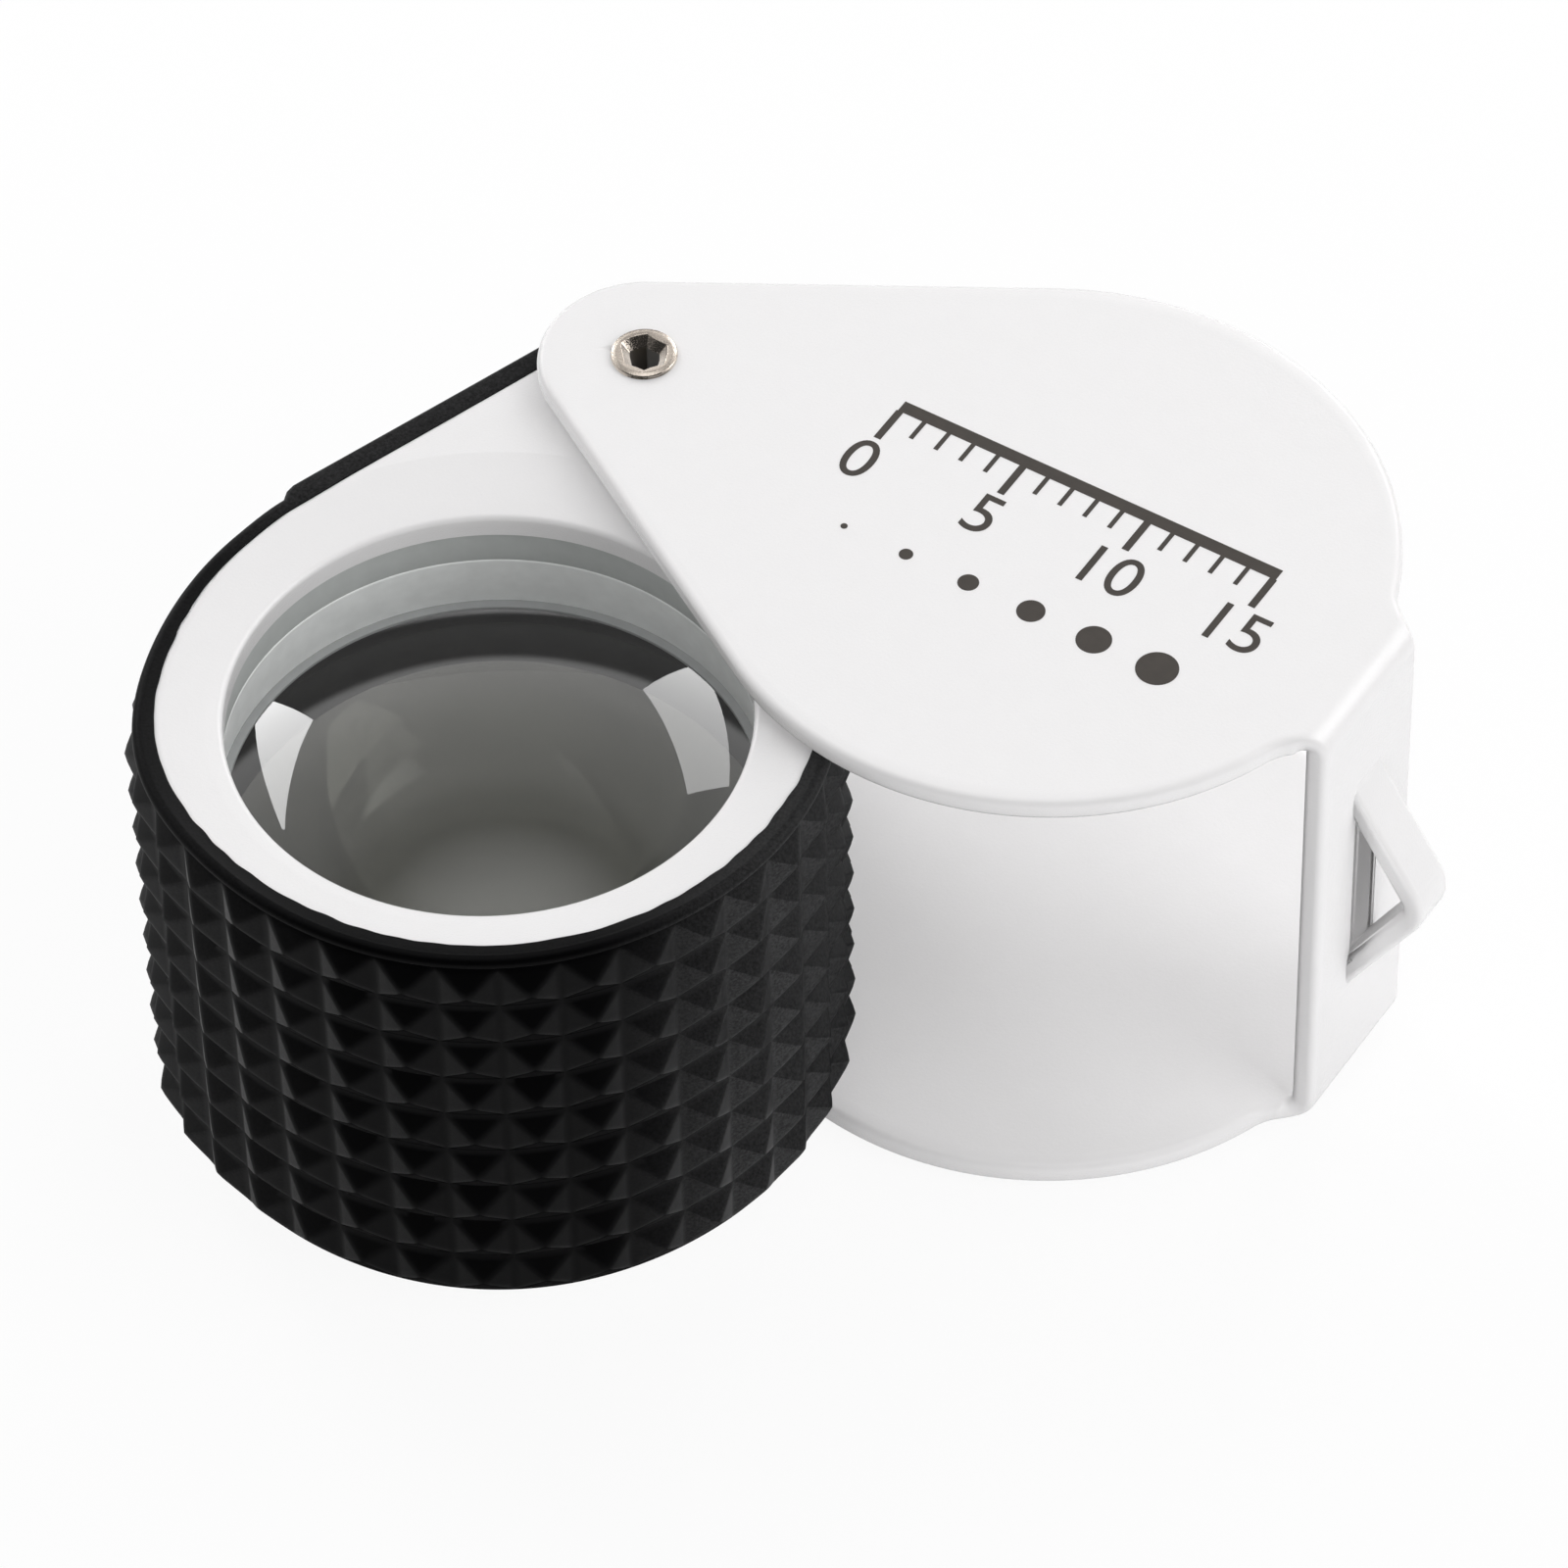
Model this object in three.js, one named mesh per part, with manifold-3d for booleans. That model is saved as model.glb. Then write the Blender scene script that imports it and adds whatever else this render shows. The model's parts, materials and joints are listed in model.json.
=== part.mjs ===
// Folding jeweler loupe: a tear-shaped lens holder that swings on a rivet between two cover plates.
// Units are millimetres and +Z is up. The origin is on the underside of the lower plate, at the centre
// of the plates' round end, and +X points from there to the wall that joins the plates.
import * as THREE from 'three';
import { mergeVertices, toCreasedNormals } from 'three/addons/utils/BufferGeometryUtils.js';
import Module from 'manifold-3d';

const wasm = await Module();
wasm.setup();

// Case: one folded strip of sheet metal
const sheet = 0.85;
const pivotToRound = 16.5;
const plateRoundRadius = 12.1;
const plateTipRadius = 3.45;
const wallWidth = 6.2;
const bendInnerRadius = 0.15;
const wallClearance = 0.4;
const plateGap = 0.15;

// Cord loop, cut free from the wall and pushed out
const bailWidth = 1.9;
const bailLength = 9.9;
const bailReach = 2.8;
const bailApexRadius = 1.25;
const bailRaise = 0.2;
const bailKerf = 0.05;
const bailRootOverlap = 0.3;

// Rivet and friction washers
const shankRadius = 0.8;
const eyeletWall = 0.3;
const plateHoleClearance = 0.05;
const flangeWidth = 0.37;
const flangeThickness = 0.2;
const flangeRoll = 0.08;
const funnelDepth = 0.5;
const washerWidth = 1.05;
const washerThickness = 0.35;
const washerPlay = 0.1;
const pivotClearance = 0.1;

// Glass: a cemented triplet with equal outer lenses
const glassRadius = 9.65;
const outerCurve = 20;
const cementCurve = 14;
const flintEdge = 2.9;
const crownEdge = 1.26;
const cementGap = 0.02;

// Rings and barrel round the glass
const glassClearance = 0.1;
const barrelWall = 0.45;
const shoulderWidth = 0.55;
const shoulderHeight = 1.5;
const barrelSkirt = 1.5;
const ringClearance = 0.05;
const spacerHeight = 2.4;
const spacerTopWidth = 0.5;
const spacerFootWidth = 0.2;
const seatWidth = 0.2;
const seatThickness = 0.3;
const seatClearance = 0.02;
const bezelHeight = 1.2;
const bezelWidth = 1.2;

// Holder body
const pivotToLens = 16.25;
const roundInset = 0.4;
const holderWall = 0.65;
const holderTipRadius = 2.7;
const openingRadius = 9.0;
const lipHeight = 0.9;
const dishDepth = 0.3;
const dishWidth = 2.8;
const footChamfer = 0.3;

// Rubber grip with its field of pyramids
const gripClearance = 0.03;
const gripWall = 0.32;
const gripTipWall = 0.67;
const studHeight = 0.55;
const studColumns = 24;
const studRows = 9;
const studMargin = 0.55;
const gripFootDrop = 0.05;
const rampLength = 0.5;
const lipStep = 0.35;
const lipEdge = 0.15;

// Pose of the holder, swung out of the case
const swingAngle = THREE.MathUtils.degToRad(-76);

// Fineness of round stretches
const ringSteps = 48;
const smallSteps = 24;
const glassSteps = 5;
const bendSteps = 4;
const tipSteps = 8;
const roundSteps = 2 * studColumns;
const overrun = 1;

// Heights, stacked from the underside of the lower plate
const sag = (curve, radius) => curve - Math.sqrt(curve * curve - radius * radius);
const seatInnerRadius = glassRadius + glassClearance - ringClearance - seatWidth;
const seatRise = sag(outerCurve, glassRadius) - sag(outerCurve, seatInnerRadius) + seatClearance;
const holderBottom = sheet + plateGap;
const barrelBottom = holderBottom + bezelHeight;
const retainerBottom = barrelBottom + barrelSkirt;
const lowerSeatBottom = retainerBottom + spacerHeight;
const lowerSeatTop = lowerSeatBottom + seatThickness;
const rearRim = lowerSeatTop + seatRise;
const rearCement = rearRim + flintEdge;
const crownBottom = rearCement + cementGap;
const crownTop = crownBottom + crownEdge;
const frontCement = crownTop + cementGap;
const frontRim = frontCement + flintEdge;
const upperSeatBottom = frontRim + seatRise;
const upperSeatTop = upperSeatBottom + seatThickness;
const spacerTop = upperSeatTop + spacerHeight;
const barrelTop = spacerTop + shoulderHeight;
const openingEdge = barrelTop + lipHeight;
const holderTop = openingEdge + dishDepth;
const plateUnderside = holderTop + plateGap;
const caseHeight = plateUnderside + sheet;
const midHeight = caseHeight / 2;

// Radii, from the glass outwards
const seatBore = glassRadius + glassClearance;
const ringOuterRadius = seatBore - ringClearance;
const barrelRadius = seatBore + barrelWall;
const holderBore = barrelRadius + ringClearance;
const pivotToGrip = pivotToLens - roundInset;
const holderRoundRadius = roundInset + holderBore + holderWall;
const gripInnerRadius = holderRoundRadius + gripClearance;
const gripInnerTip = holderTipRadius + gripClearance;
const valleyRadius = gripInnerRadius + gripWall;
const gripRadius = valleyRadius + studHeight;
const gripTip = gripInnerTip + gripTipWall;
const wallInside = pivotToGrip + gripRadius + wallClearance - pivotToRound;
const wallOutside = wallInside + sheet;
const shankHole = shankRadius + plateHoleClearance;
const eyeletBore = shankRadius - eyeletWall;
const flangeRadius = shankRadius + flangeWidth;
const pivotBore = shankRadius + pivotClearance;
const washerRadius = pivotBore + washerWidth;

// A geometry reduced to its welded positions
function welded(geometry) {
  geometry.deleteAttribute('normal');
  geometry.deleteAttribute('uv');
  return mergeVertices(geometry);
}

// A closed geometry as a solid that can be joined and cut
function solidOf(geometry) {
  const mesh = welded(geometry);
  return new wasm.Manifold(new wasm.Mesh({
    numProp: 3,
    vertProperties: new Float32Array(mesh.getAttribute('position').array),
    triVerts: new Uint32Array(mesh.getIndex().array),
  }));
}

// The geometry of a solid
function geometryOf(solid) {
  const mesh = solid.getMesh();
  const geometry = new THREE.BufferGeometry();
  geometry.setAttribute('position', new THREE.BufferAttribute(mesh.vertProperties, 3));
  geometry.setIndex(new THREE.BufferAttribute(mesh.triVerts, 1));
  return geometry;
}

// Points along an arc, both ends included
function arc(centreX, centreY, radius, from, to, steps) {
  return Array.from({ length: steps + 1 }, (_, step) => {
    const angle = from + (to - from) * step / steps;
    return new THREE.Vector2(centreX + radius * Math.cos(angle), centreY + radius * Math.sin(angle));
  });
}

// Angle from the long axis to the point where a straight flank meets the round end
const flankAngle = (tip, round, span) => Math.acos((tip - round) / span);

// Tear-shaped outline about the pivot at zero: round end, flank with its ramp point, tip, flank again
function tearOutline(tip, round, span) {
  const edge = flankAngle(tip, round, span);
  const along = new THREE.Vector2(-Math.sin(edge), Math.cos(edge)).multiplyScalar(rampLength);
  const roundEnd = arc(span, 0, round, -edge, edge, roundSteps);
  const leave = roundEnd.at(-1).clone().add(along);
  const arrive = roundEnd[0].clone().add(new THREE.Vector2(along.x, -along.y));
  return [...roundEnd, leave, ...arc(0, 0, tip, edge, 2 * Math.PI - edge, tipSteps), arrive];
}

// Straight prism between two heights
function prism(points, low, high) {
  const geometry = new THREE.ExtrudeGeometry(new THREE.Shape(points), { depth: high - low, bevelEnabled: false });
  return geometry.translate(0, 0, low);
}

// Prism of an outline drawn in X and Z, centred on Y
function crossPrism(points, width) {
  return prism(points, -width / 2, width / 2).rotateX(Math.PI / 2);
}

// Body of revolution about Z from points (radius, height), anticlockwise and closed unless both ends are on Z
function turned(pairs, steps) {
  const points = pairs.map(([radius, height]) => new THREE.Vector2(radius, height));
  const onAxis = points[0].x === 0 && points.at(-1).x === 0;
  const profile = onAxis ? points : [...points, points[0]];
  return new THREE.LatheGeometry(profile, steps).rotateX(Math.PI / 2);
}

// Plain ring, or a conical one where the inner radius changes with height
function ring(outer, innerLow, innerHigh, low, high, steps = ringSteps) {
  return turned([[innerLow, low], [outer, low], [outer, high], [innerHigh, high]], steps);
}

// Solid disc
function disc(radius, low, high, steps = ringSteps) {
  return turned([[0, low], [radius, low], [radius, high], [0, high]], steps);
}

// Closed skin over a grid of points that wraps round in both directions
function wrappedGrid(rows) {
  const across = rows[0].length;
  const corner = (row, column) => (row % rows.length) * across + column % across;
  const faces = rows.flatMap((points, row) => points.flatMap((_, column) => {
    const [a, b] = [corner(row, column), corner(row + 1, column)];
    const [c, d] = [corner(row + 1, column + 1), corner(row, column + 1)];
    return [a, b, c, a, c, d];
  }));
  const geometry = new THREE.BufferGeometry().setFromPoints(rows.flat());
  geometry.setIndex(faces);
  return geometry;
}

// Prism whose outline changes from level to level, closed by a flat cap at each end
function loft(levels) {
  const count = levels[0].outline.length;
  const points = levels.flatMap(({ outline, height }) => outline.map(({ x, y }) => new THREE.Vector3(x, y, height)));
  const faces = [];
  for (let level = 0; level < levels.length - 1; level += 1) {
    for (let side = 0; side < count; side += 1) {
      const [a, b] = [level * count + side, level * count + (side + 1) % count];
      faces.push(a, b, b + count, a, b + count, a + count);
    }
  }
  const top = (levels.length - 1) * count;
  for (const [a, b, c] of THREE.ShapeUtils.triangulateShape(levels[0].outline, [])) {
    faces.push(c, b, a);
    faces.push(top + a, top + b, top + c);
  }
  const geometry = new THREE.BufferGeometry().setFromPoints(points);
  geometry.setIndex(faces);
  return geometry;
}

// Folded strip seen from the side: two plates and the wall between them, with both bends
function stripProfile() {
  const bendOuterRadius = bendInnerRadius + sheet;
  const bendX = wallInside - bendInnerRadius;
  const lowBend = sheet + bendInnerRadius;
  const highBend = caseHeight - lowBend;
  const tipX = -pivotToRound - plateTipRadius - overrun;
  return [
    new THREE.Vector2(tipX, 0),
    ...arc(bendX, lowBend, bendOuterRadius, -Math.PI / 2, 0, bendSteps),
    ...arc(bendX, highBend, bendOuterRadius, 0, Math.PI / 2, bendSteps),
    new THREE.Vector2(tipX, caseHeight),
    new THREE.Vector2(tipX, plateUnderside),
    ...arc(bendX, highBend, bendInnerRadius, Math.PI / 2, 0, bendSteps),
    ...arc(bendX, lowBend, bendInnerRadius, 0, -Math.PI / 2, bendSteps),
    new THREE.Vector2(tipX, sheet),
  ];
}

// Strip seen from above: tip, flanks, round end and the narrow neck that is bent into the wall
function plateOutline() {
  const flank = flankAngle(plateTipRadius, plateRoundRadius, pivotToRound);
  const neck = Math.asin(wallWidth / 2 / plateRoundRadius);
  const neckEnd = wallOutside + overrun;
  return [
    new THREE.Vector2(neckEnd, -wallWidth / 2),
    new THREE.Vector2(neckEnd, wallWidth / 2),
    ...arc(0, 0, plateRoundRadius, neck, flank, studColumns),
    ...arc(-pivotToRound, 0, plateTipRadius, flank, 2 * Math.PI - flank, tipSteps),
    ...arc(0, 0, plateRoundRadius, 2 * Math.PI - flank, 2 * Math.PI - neck, studColumns),
  ];
}

// Cord loop seen from the side: a V with a round apex, whose legs are tangent to the apex arcs
function bailProfile() {
  const centreZ = midHeight + bailRaise;
  const half = bailLength / 2;
  const centreX = wallOutside + bailReach - bailApexRadius;
  const depth = centreX - wallOutside;
  const lean = Math.atan2(depth, half) + Math.asin(bailApexRadius / Math.hypot(half, depth));
  const inner = bailApexRadius - sheet;
  const innerFoot = inner * Math.sin(lean) + (centreX + inner * Math.cos(lean) - wallInside) / Math.tan(lean);
  return [
    new THREE.Vector2(wallInside, centreZ - half - bailRootOverlap),
    new THREE.Vector2(wallOutside, centreZ - half - bailRootOverlap),
    new THREE.Vector2(wallOutside, centreZ - half),
    ...arc(centreX, centreZ, bailApexRadius, -lean, lean, bendSteps),
    new THREE.Vector2(wallOutside, centreZ + half),
    new THREE.Vector2(wallOutside, centreZ + half + bailRootOverlap),
    new THREE.Vector2(wallInside, centreZ + half + bailRootOverlap),
    new THREE.Vector2(wallInside, centreZ + innerFoot),
    ...arc(centreX, centreZ, inner, lean, -lean, bendSteps),
    new THREE.Vector2(wallInside, centreZ - innerFoot),
  ];
}

function caseShell() {
  const strip = solidOf(crossPrism(stripProfile(), 2 * (plateRoundRadius + overrun)));
  const plan = solidOf(prism(plateOutline(), -overrun, caseHeight + overrun));
  const window = new THREE.BoxGeometry(sheet + 2 * overrun, bailWidth + 2 * bailKerf, bailLength);
  window.translate(wallInside + sheet / 2, 0, midHeight + bailRaise);
  const pivotHole = disc(shankHole, -overrun, caseHeight + overrun, smallSteps).translate(-pivotToRound, 0, 0);
  return geometryOf(strip.intersect(plan)
    .subtract(solidOf(window))
    .add(solidOf(crossPrism(bailProfile(), bailWidth)))
    .subtract(solidOf(pivotHole)));
}

// Hollow rivet: a flat flange below, and above it a rolled one that runs into the bore as a funnel
function pivotEyelet() {
  const crest = flangeRadius - flangeWidth / 2;
  const top = caseHeight + flangeThickness;
  return turned([
    [eyeletBore, -flangeThickness],
    [flangeRadius, -flangeThickness],
    [flangeRadius, 0],
    [shankRadius, 0],
    [shankRadius, caseHeight],
    [flangeRadius, caseHeight],
    [flangeRadius, top - flangeRoll],
    [crest, top],
    [shankRadius, top],
    [eyeletBore, top - funnelDepth],
  ], smallSteps).translate(-pivotToRound, 0, 0);
}

// Painted metal body with the pivot bore, the washers' recesses, the stepped lens bore and the dished face
function lensHolder() {
  const outline = tearOutline(holderTipRadius, holderRoundRadius, pivotToGrip);
  const foot = tearOutline(holderTipRadius - footChamfer, holderRoundRadius - footChamfer, pivotToGrip);
  const body = loft([
    { outline: foot, height: holderBottom },
    { outline, height: holderBottom + footChamfer },
    { outline, height: holderTop },
  ]);
  const slope = dishWidth / dishDepth;
  const opening = turned([
    [0, holderBottom - overrun],
    [holderBore, holderBottom - overrun],
    [holderBore, barrelTop],
    [openingRadius, barrelTop],
    [openingRadius, openingEdge],
    [openingRadius + dishWidth + overrun * slope, holderTop + overrun],
    [0, holderTop + overrun],
  ], ringSteps).translate(pivotToLens, 0, 0);
  const recess = washerThickness + washerPlay - plateGap;
  const recessRadius = washerRadius + pivotClearance;
  const pivot = turned([
    [0, holderBottom - overrun],
    [recessRadius, holderBottom - overrun],
    [recessRadius, holderBottom + recess],
    [pivotBore, holderBottom + recess],
    [pivotBore, holderTop - recess],
    [recessRadius, holderTop - recess],
    [recessRadius, holderTop + overrun],
    [0, holderTop + overrun],
  ], smallSteps);
  return geometryOf(solidOf(body).subtract(solidOf(opening)).subtract(solidOf(pivot)));
}

// Rubber band round the holder, as a closed section carried round the tear shape.
// On the round end the outer face drops to the valley level and every second point of the grid is a peak.
function rubberGrip() {
  const inner = tearOutline(gripInnerTip, gripInnerRadius, pivotToGrip);
  const outer = tearOutline(gripTip, gripRadius, pivotToGrip);
  const firstLine = holderBottom + studMargin;
  const lastLine = holderTop - studMargin;
  const lines = 2 * studRows;
  const centre = new THREE.Vector2(pivotToGrip, 0);
  const sunk = (point, depth) => point.clone().sub(centre).setLength(gripRadius - depth).add(centre);
  const at = (point, height) => new THREE.Vector3(point.x, point.y, height);
  const sections = outer.map((point, station) => {
    const onRound = station <= roundSteps;
    const valley = onRound ? sunk(point, studHeight) : point;
    const lip = onRound ? sunk(point, lipEdge) : point;
    const face = Array.from({ length: lines + 1 }, (_, line) => {
      const isPeak = onRound && station % 2 === 1 && line % 2 === 1;
      return at(isPeak ? point : valley, firstLine + (lastLine - firstLine) * line / lines);
    });
    const edge = lip.clone().lerp(inner[station], lipEdge / (gripRadius - gripInnerRadius));
    return [
      at(inner[station], firstLine - gripFootDrop),
      at(valley, firstLine - gripFootDrop),
      ...face,
      at(lip, lastLine + lipEdge),
      at(lip, lastLine + lipStep),
      at(edge, holderTop),
      at(inner[station], holderTop),
    ];
  });
  return wrappedGrid(sections);
}

// Grey tube that carries the glass, with the shoulder that shows under the opening
function lensBarrel() {
  const shoulderRadius = seatBore - shoulderWidth;
  return turned([
    [seatBore, barrelBottom],
    [barrelRadius, barrelBottom],
    [barrelRadius, barrelTop],
    [shoulderRadius, barrelTop],
    [shoulderRadius, spacerTop],
    [seatBore, spacerTop],
  ], ringSteps);
}

// Heights along a spherical surface from the rim to the axis; a positive rise bulges upwards
function capPoints(curve, rim, rise) {
  return Array.from({ length: glassSteps + 1 }, (_, step) => {
    const radius = glassRadius * (1 - step / glassSteps);
    return [radius, rim + rise * (sag(curve, glassRadius) - sag(curve, radius))];
  });
}

// Lens between two spherical surfaces
function lens(lowCurve, lowRim, lowRise, highCurve, highRim, highRise) {
  const low = capPoints(lowCurve, lowRim, lowRise).reverse();
  return turned([...low, ...capPoints(highCurve, highRim, highRise)], ringSteps);
}

function material(color, roughness, metalness, extra = {}) {
  return new THREE.MeshStandardMaterial({ color, roughness, metalness, ...extra });
}

const offWhitePaint = () => material(0xe9e7df, 0.55, 0.1);
const nickel = () => material(0xb9b8b2, 0.25, 1);
const blackRubber = () => material(0x1d1e20, 0.7, 0);
const greyMetal = () => material(0x8f8f89, 0.45, 0.8);
const paleMetal = () => material(0xb4b3aa, 0.4, 0.8);
const blackened = () => material(0x3a3b3a, 0.6, 0.5);
const glass = () => material(0xdfe6e0, 0.03, 0, { transparent: true, opacity: 0.35 });
const bronze = () => material(0xb08a4e, 0.4, 0.9);

// A named piece with creased shading
function piece(name, geometry, finish) {
  const mesh = new THREE.Mesh(toCreasedNormals(welded(geometry), Math.PI / 7), finish);
  mesh.name = name;
  return mesh;
}

const loupe = new THREE.Group();
loupe.add(piece('case_shell', caseShell(), offWhitePaint()));
loupe.add(piece('pivot_eyelet', pivotEyelet(), nickel()));

// Everything that swings, about the rivet's axis
const swing = new THREE.Group();
swing.position.x = -pivotToRound;
swing.rotation.z = swingAngle;
loupe.add(swing);

const lowerWasherBottom = sheet + washerPlay;
const upperWasherTop = plateUnderside - washerPlay;
swing.add(piece('lens_holder', lensHolder(), offWhitePaint()));
swing.add(piece('rubber_grip', rubberGrip(), blackRubber()));
for (const [name, low, high] of [
  ['lower_friction_washer', lowerWasherBottom, lowerWasherBottom + washerThickness],
  ['upper_friction_washer', upperWasherTop - washerThickness, upperWasherTop],
]) {
  swing.add(piece(name, ring(washerRadius, pivotBore, pivotBore, low, high, smallSteps), bronze()));
}

// Everything that is centred on the lens axis
const optics = new THREE.Group();
optics.position.x = pivotToLens;
swing.add(optics);

const spacerNarrow = ringOuterRadius - spacerTopWidth;
const spacerWide = ringOuterRadius - spacerFootWidth;
const opticalPieces = {
  lens_barrel: [lensBarrel(), greyMetal()],
  upper_spacer_ring: [ring(ringOuterRadius, spacerWide, spacerNarrow, upperSeatTop, spacerTop), paleMetal()],
  upper_seat_ring: [ring(ringOuterRadius, seatInnerRadius, seatInnerRadius, upperSeatBottom, upperSeatTop), blackened()],
  front_flint_lens: [lens(cementCurve, frontCement, 1, outerCurve, frontRim, 1), glass()],
  crown_lens: [lens(cementCurve, crownBottom, -1, cementCurve, crownTop, 1), glass()],
  rear_flint_lens: [lens(outerCurve, rearRim, -1, cementCurve, rearCement, -1), glass()],
  lower_seat_ring: [ring(ringOuterRadius, seatInnerRadius, seatInnerRadius, lowerSeatBottom, lowerSeatTop), blackened()],
  lower_retaining_ring: [ring(ringOuterRadius, spacerNarrow, spacerWide, retainerBottom, lowerSeatBottom), paleMetal()],
  lower_bezel_ring: [ring(barrelRadius, barrelRadius - bezelWidth, barrelRadius - bezelWidth, holderBottom, barrelBottom),
    offWhitePaint()],
};
for (const [name, [geometry, finish]] of Object.entries(opticalPieces)) {
  optics.add(piece(name, geometry, finish));
}

export default loupe;
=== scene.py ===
import json
import math
from functools import partial

import bmesh
import bpy
import numpy as np
from bpy.props import FloatProperty, FloatVectorProperty, IntProperty, PointerProperty
from bpy.types import Operator, Panel, PropertyGroup
from mathutils import Matrix, Vector


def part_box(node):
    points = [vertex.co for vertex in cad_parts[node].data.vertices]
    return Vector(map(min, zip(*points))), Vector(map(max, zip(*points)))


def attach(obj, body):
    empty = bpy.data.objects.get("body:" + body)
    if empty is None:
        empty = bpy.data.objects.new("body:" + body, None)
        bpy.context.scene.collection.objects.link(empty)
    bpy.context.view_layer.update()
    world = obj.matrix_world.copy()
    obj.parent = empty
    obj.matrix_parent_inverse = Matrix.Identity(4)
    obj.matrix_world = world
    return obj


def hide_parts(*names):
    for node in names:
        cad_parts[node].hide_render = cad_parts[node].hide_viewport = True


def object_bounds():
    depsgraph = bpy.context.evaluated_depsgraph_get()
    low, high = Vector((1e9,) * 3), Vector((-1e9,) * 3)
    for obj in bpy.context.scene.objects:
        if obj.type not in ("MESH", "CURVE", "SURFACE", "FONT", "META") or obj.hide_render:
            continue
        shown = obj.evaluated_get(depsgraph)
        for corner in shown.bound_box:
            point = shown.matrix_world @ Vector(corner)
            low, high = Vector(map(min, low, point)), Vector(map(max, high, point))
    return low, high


bl_info = {
    "name": "Folding Loupe",
    "version": (1, 0, 0),
    "blender": (4, 5, 0),
    "location": "View3D > Sidebar > Loupe",
    "description": "Painted case, rubber grip, rivet, barrel and glass round the frame of a folding loupe",
    "category": "Object",
}

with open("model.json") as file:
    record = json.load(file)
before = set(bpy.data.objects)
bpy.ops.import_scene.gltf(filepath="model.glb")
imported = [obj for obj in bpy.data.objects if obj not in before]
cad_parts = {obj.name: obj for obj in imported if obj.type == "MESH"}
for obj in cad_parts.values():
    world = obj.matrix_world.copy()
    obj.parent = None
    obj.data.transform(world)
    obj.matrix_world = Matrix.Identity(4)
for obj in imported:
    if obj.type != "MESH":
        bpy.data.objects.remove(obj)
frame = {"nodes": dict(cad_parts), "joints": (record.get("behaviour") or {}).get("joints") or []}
CAD_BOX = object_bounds()
MM = 0.001
UP = Vector((0, 0, 1))
LEVEL = Vector((1, 1, 0))

# Places read from the frame
CASE_LOW, CASE_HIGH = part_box("case_shell")
HOLDER_LOW, HOLDER_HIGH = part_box("lens_holder")
BARREL_LOW, BARREL_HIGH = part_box("lens_barrel")
SPACER_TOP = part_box("upper_spacer_ring")[1].z
FRONT_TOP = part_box("front_flint_lens")[1].z
REAR_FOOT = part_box("rear_flint_lens")[0].z
PIVOT = Vector(frame["joints"][0]["pos_m"]) * LEVEL
LENS = sum(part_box("crown_lens"), Vector()) / 2 * LEVEL
ALONG = (LENS - PIVOT).normalized()
ACROSS = UP.cross(ALONG)
PIVOT_TO_LENS = (LENS - PIVOT).length


def millimetres(name, description, size):
    """A length in millimetres, as a property."""
    return FloatProperty(name=name, description=description, default=size * MM, unit="LENGTH")


def angle_degrees(name, description, degrees):
    """An angle in degrees, as a property."""
    return FloatProperty(name=name, description=description, default=math.radians(degrees), subtype="ANGLE")


def plain_number(name, description, value):
    """A plain number, as a property."""
    return FloatProperty(name=name, description=description, default=value)


def linear_colour(name, description, shade):
    """A linear colour, as a property."""
    return FloatVectorProperty(name=name, description=description, default=shade, subtype="COLOR")


class CaseSettings(PropertyGroup):
    """Folded sheet with its cord loop."""

    sheet: millimetres("Sheet", "Thickness of the painted sheet", 0.85)
    tip_radius: millimetres("Tip radius", "Round end at the rivet", 3.75)
    round_radius: millimetres("Round radius", "Wide end of a cover plate", 12.1)
    wall_width: millimetres("Wall width", "Width of the wall between the plates", 6.2)
    bend_radius: millimetres("Bend radius", "Outer radius of both bends", 1.0)
    edge_round: millimetres("Edge rounding", "Rounding that the paint gives the sheet's edges", 0.27)
    neck_fillet: millimetres("Neck fillet", "Fillet between a plate's round end and the wall", 2.0)
    loop_width: millimetres("Loop width", "Width of the cord loop", 1.95)
    upper_leg: millimetres("Upper leg", "Height of the loop's upper root over its apex", 4.85)
    lower_leg: millimetres("Lower leg", "Depth of the loop's lower root under its apex", 5.4)
    loop_reach: millimetres("Loop reach", "How far the cord loop stands out", 2.8)
    loop_apex: millimetres("Loop apex", "Outer radius of the loop's apex", 1.8)
    loop_inside: millimetres("Loop inside", "Inner radius of the loop's apex", 0.5)
    loop_root: millimetres("Loop root", "Radius at which the loop leaves the wall", 0.7)
    loop_raise: millimetres("Loop raise", "Apex above the wall's middle", 0.6)
    loop_round: millimetres("Loop rounding", "Rounding of the loop's edges", 0.26)
    rivet_bore: millimetres("Rivet bore", "Radius of the hole for the rivet", 0.85)
    window_width: millimetres("Window width", "Width of the window that the loop leaves", 1.34)
    window_round: millimetres("Window rounding", "Rounding of the window's edges", 0.16)
    paint: linear_colour("Paint", "Off-white paint", (0.86, 0.85, 0.853))


class RivetSettings(PropertyGroup):
    """Hollow rivet and washers."""

    shank: millimetres("Shank", "Shank radius", 0.8)
    bore: millimetres("Bore", "Bore radius", 0.53)
    opening: millimetres("Opening", "Radius of the funnel's mouth", 0.82)
    flange: millimetres("Flange", "Flange radius", 1.17)
    flange_height: millimetres("Flange height", "Flange above the plate", 0.2)
    funnel: millimetres("Funnel", "Depth of the funnel", 0.36)
    nickel: linear_colour("Nickel", "Plated metal", (0.62, 0.55, 0.48))
    # Painted shade: this near-black brown stands for the shade deep in the narrow bore, with the metal's
    # tarnished brown in it.
    tarnish: linear_colour("Tarnish", "Inside of the bore", (0.024, 0.018, 0.01))
    bronze: linear_colour("Bronze", "Washer metal", (0.6, 0.42, 0.2))


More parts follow.
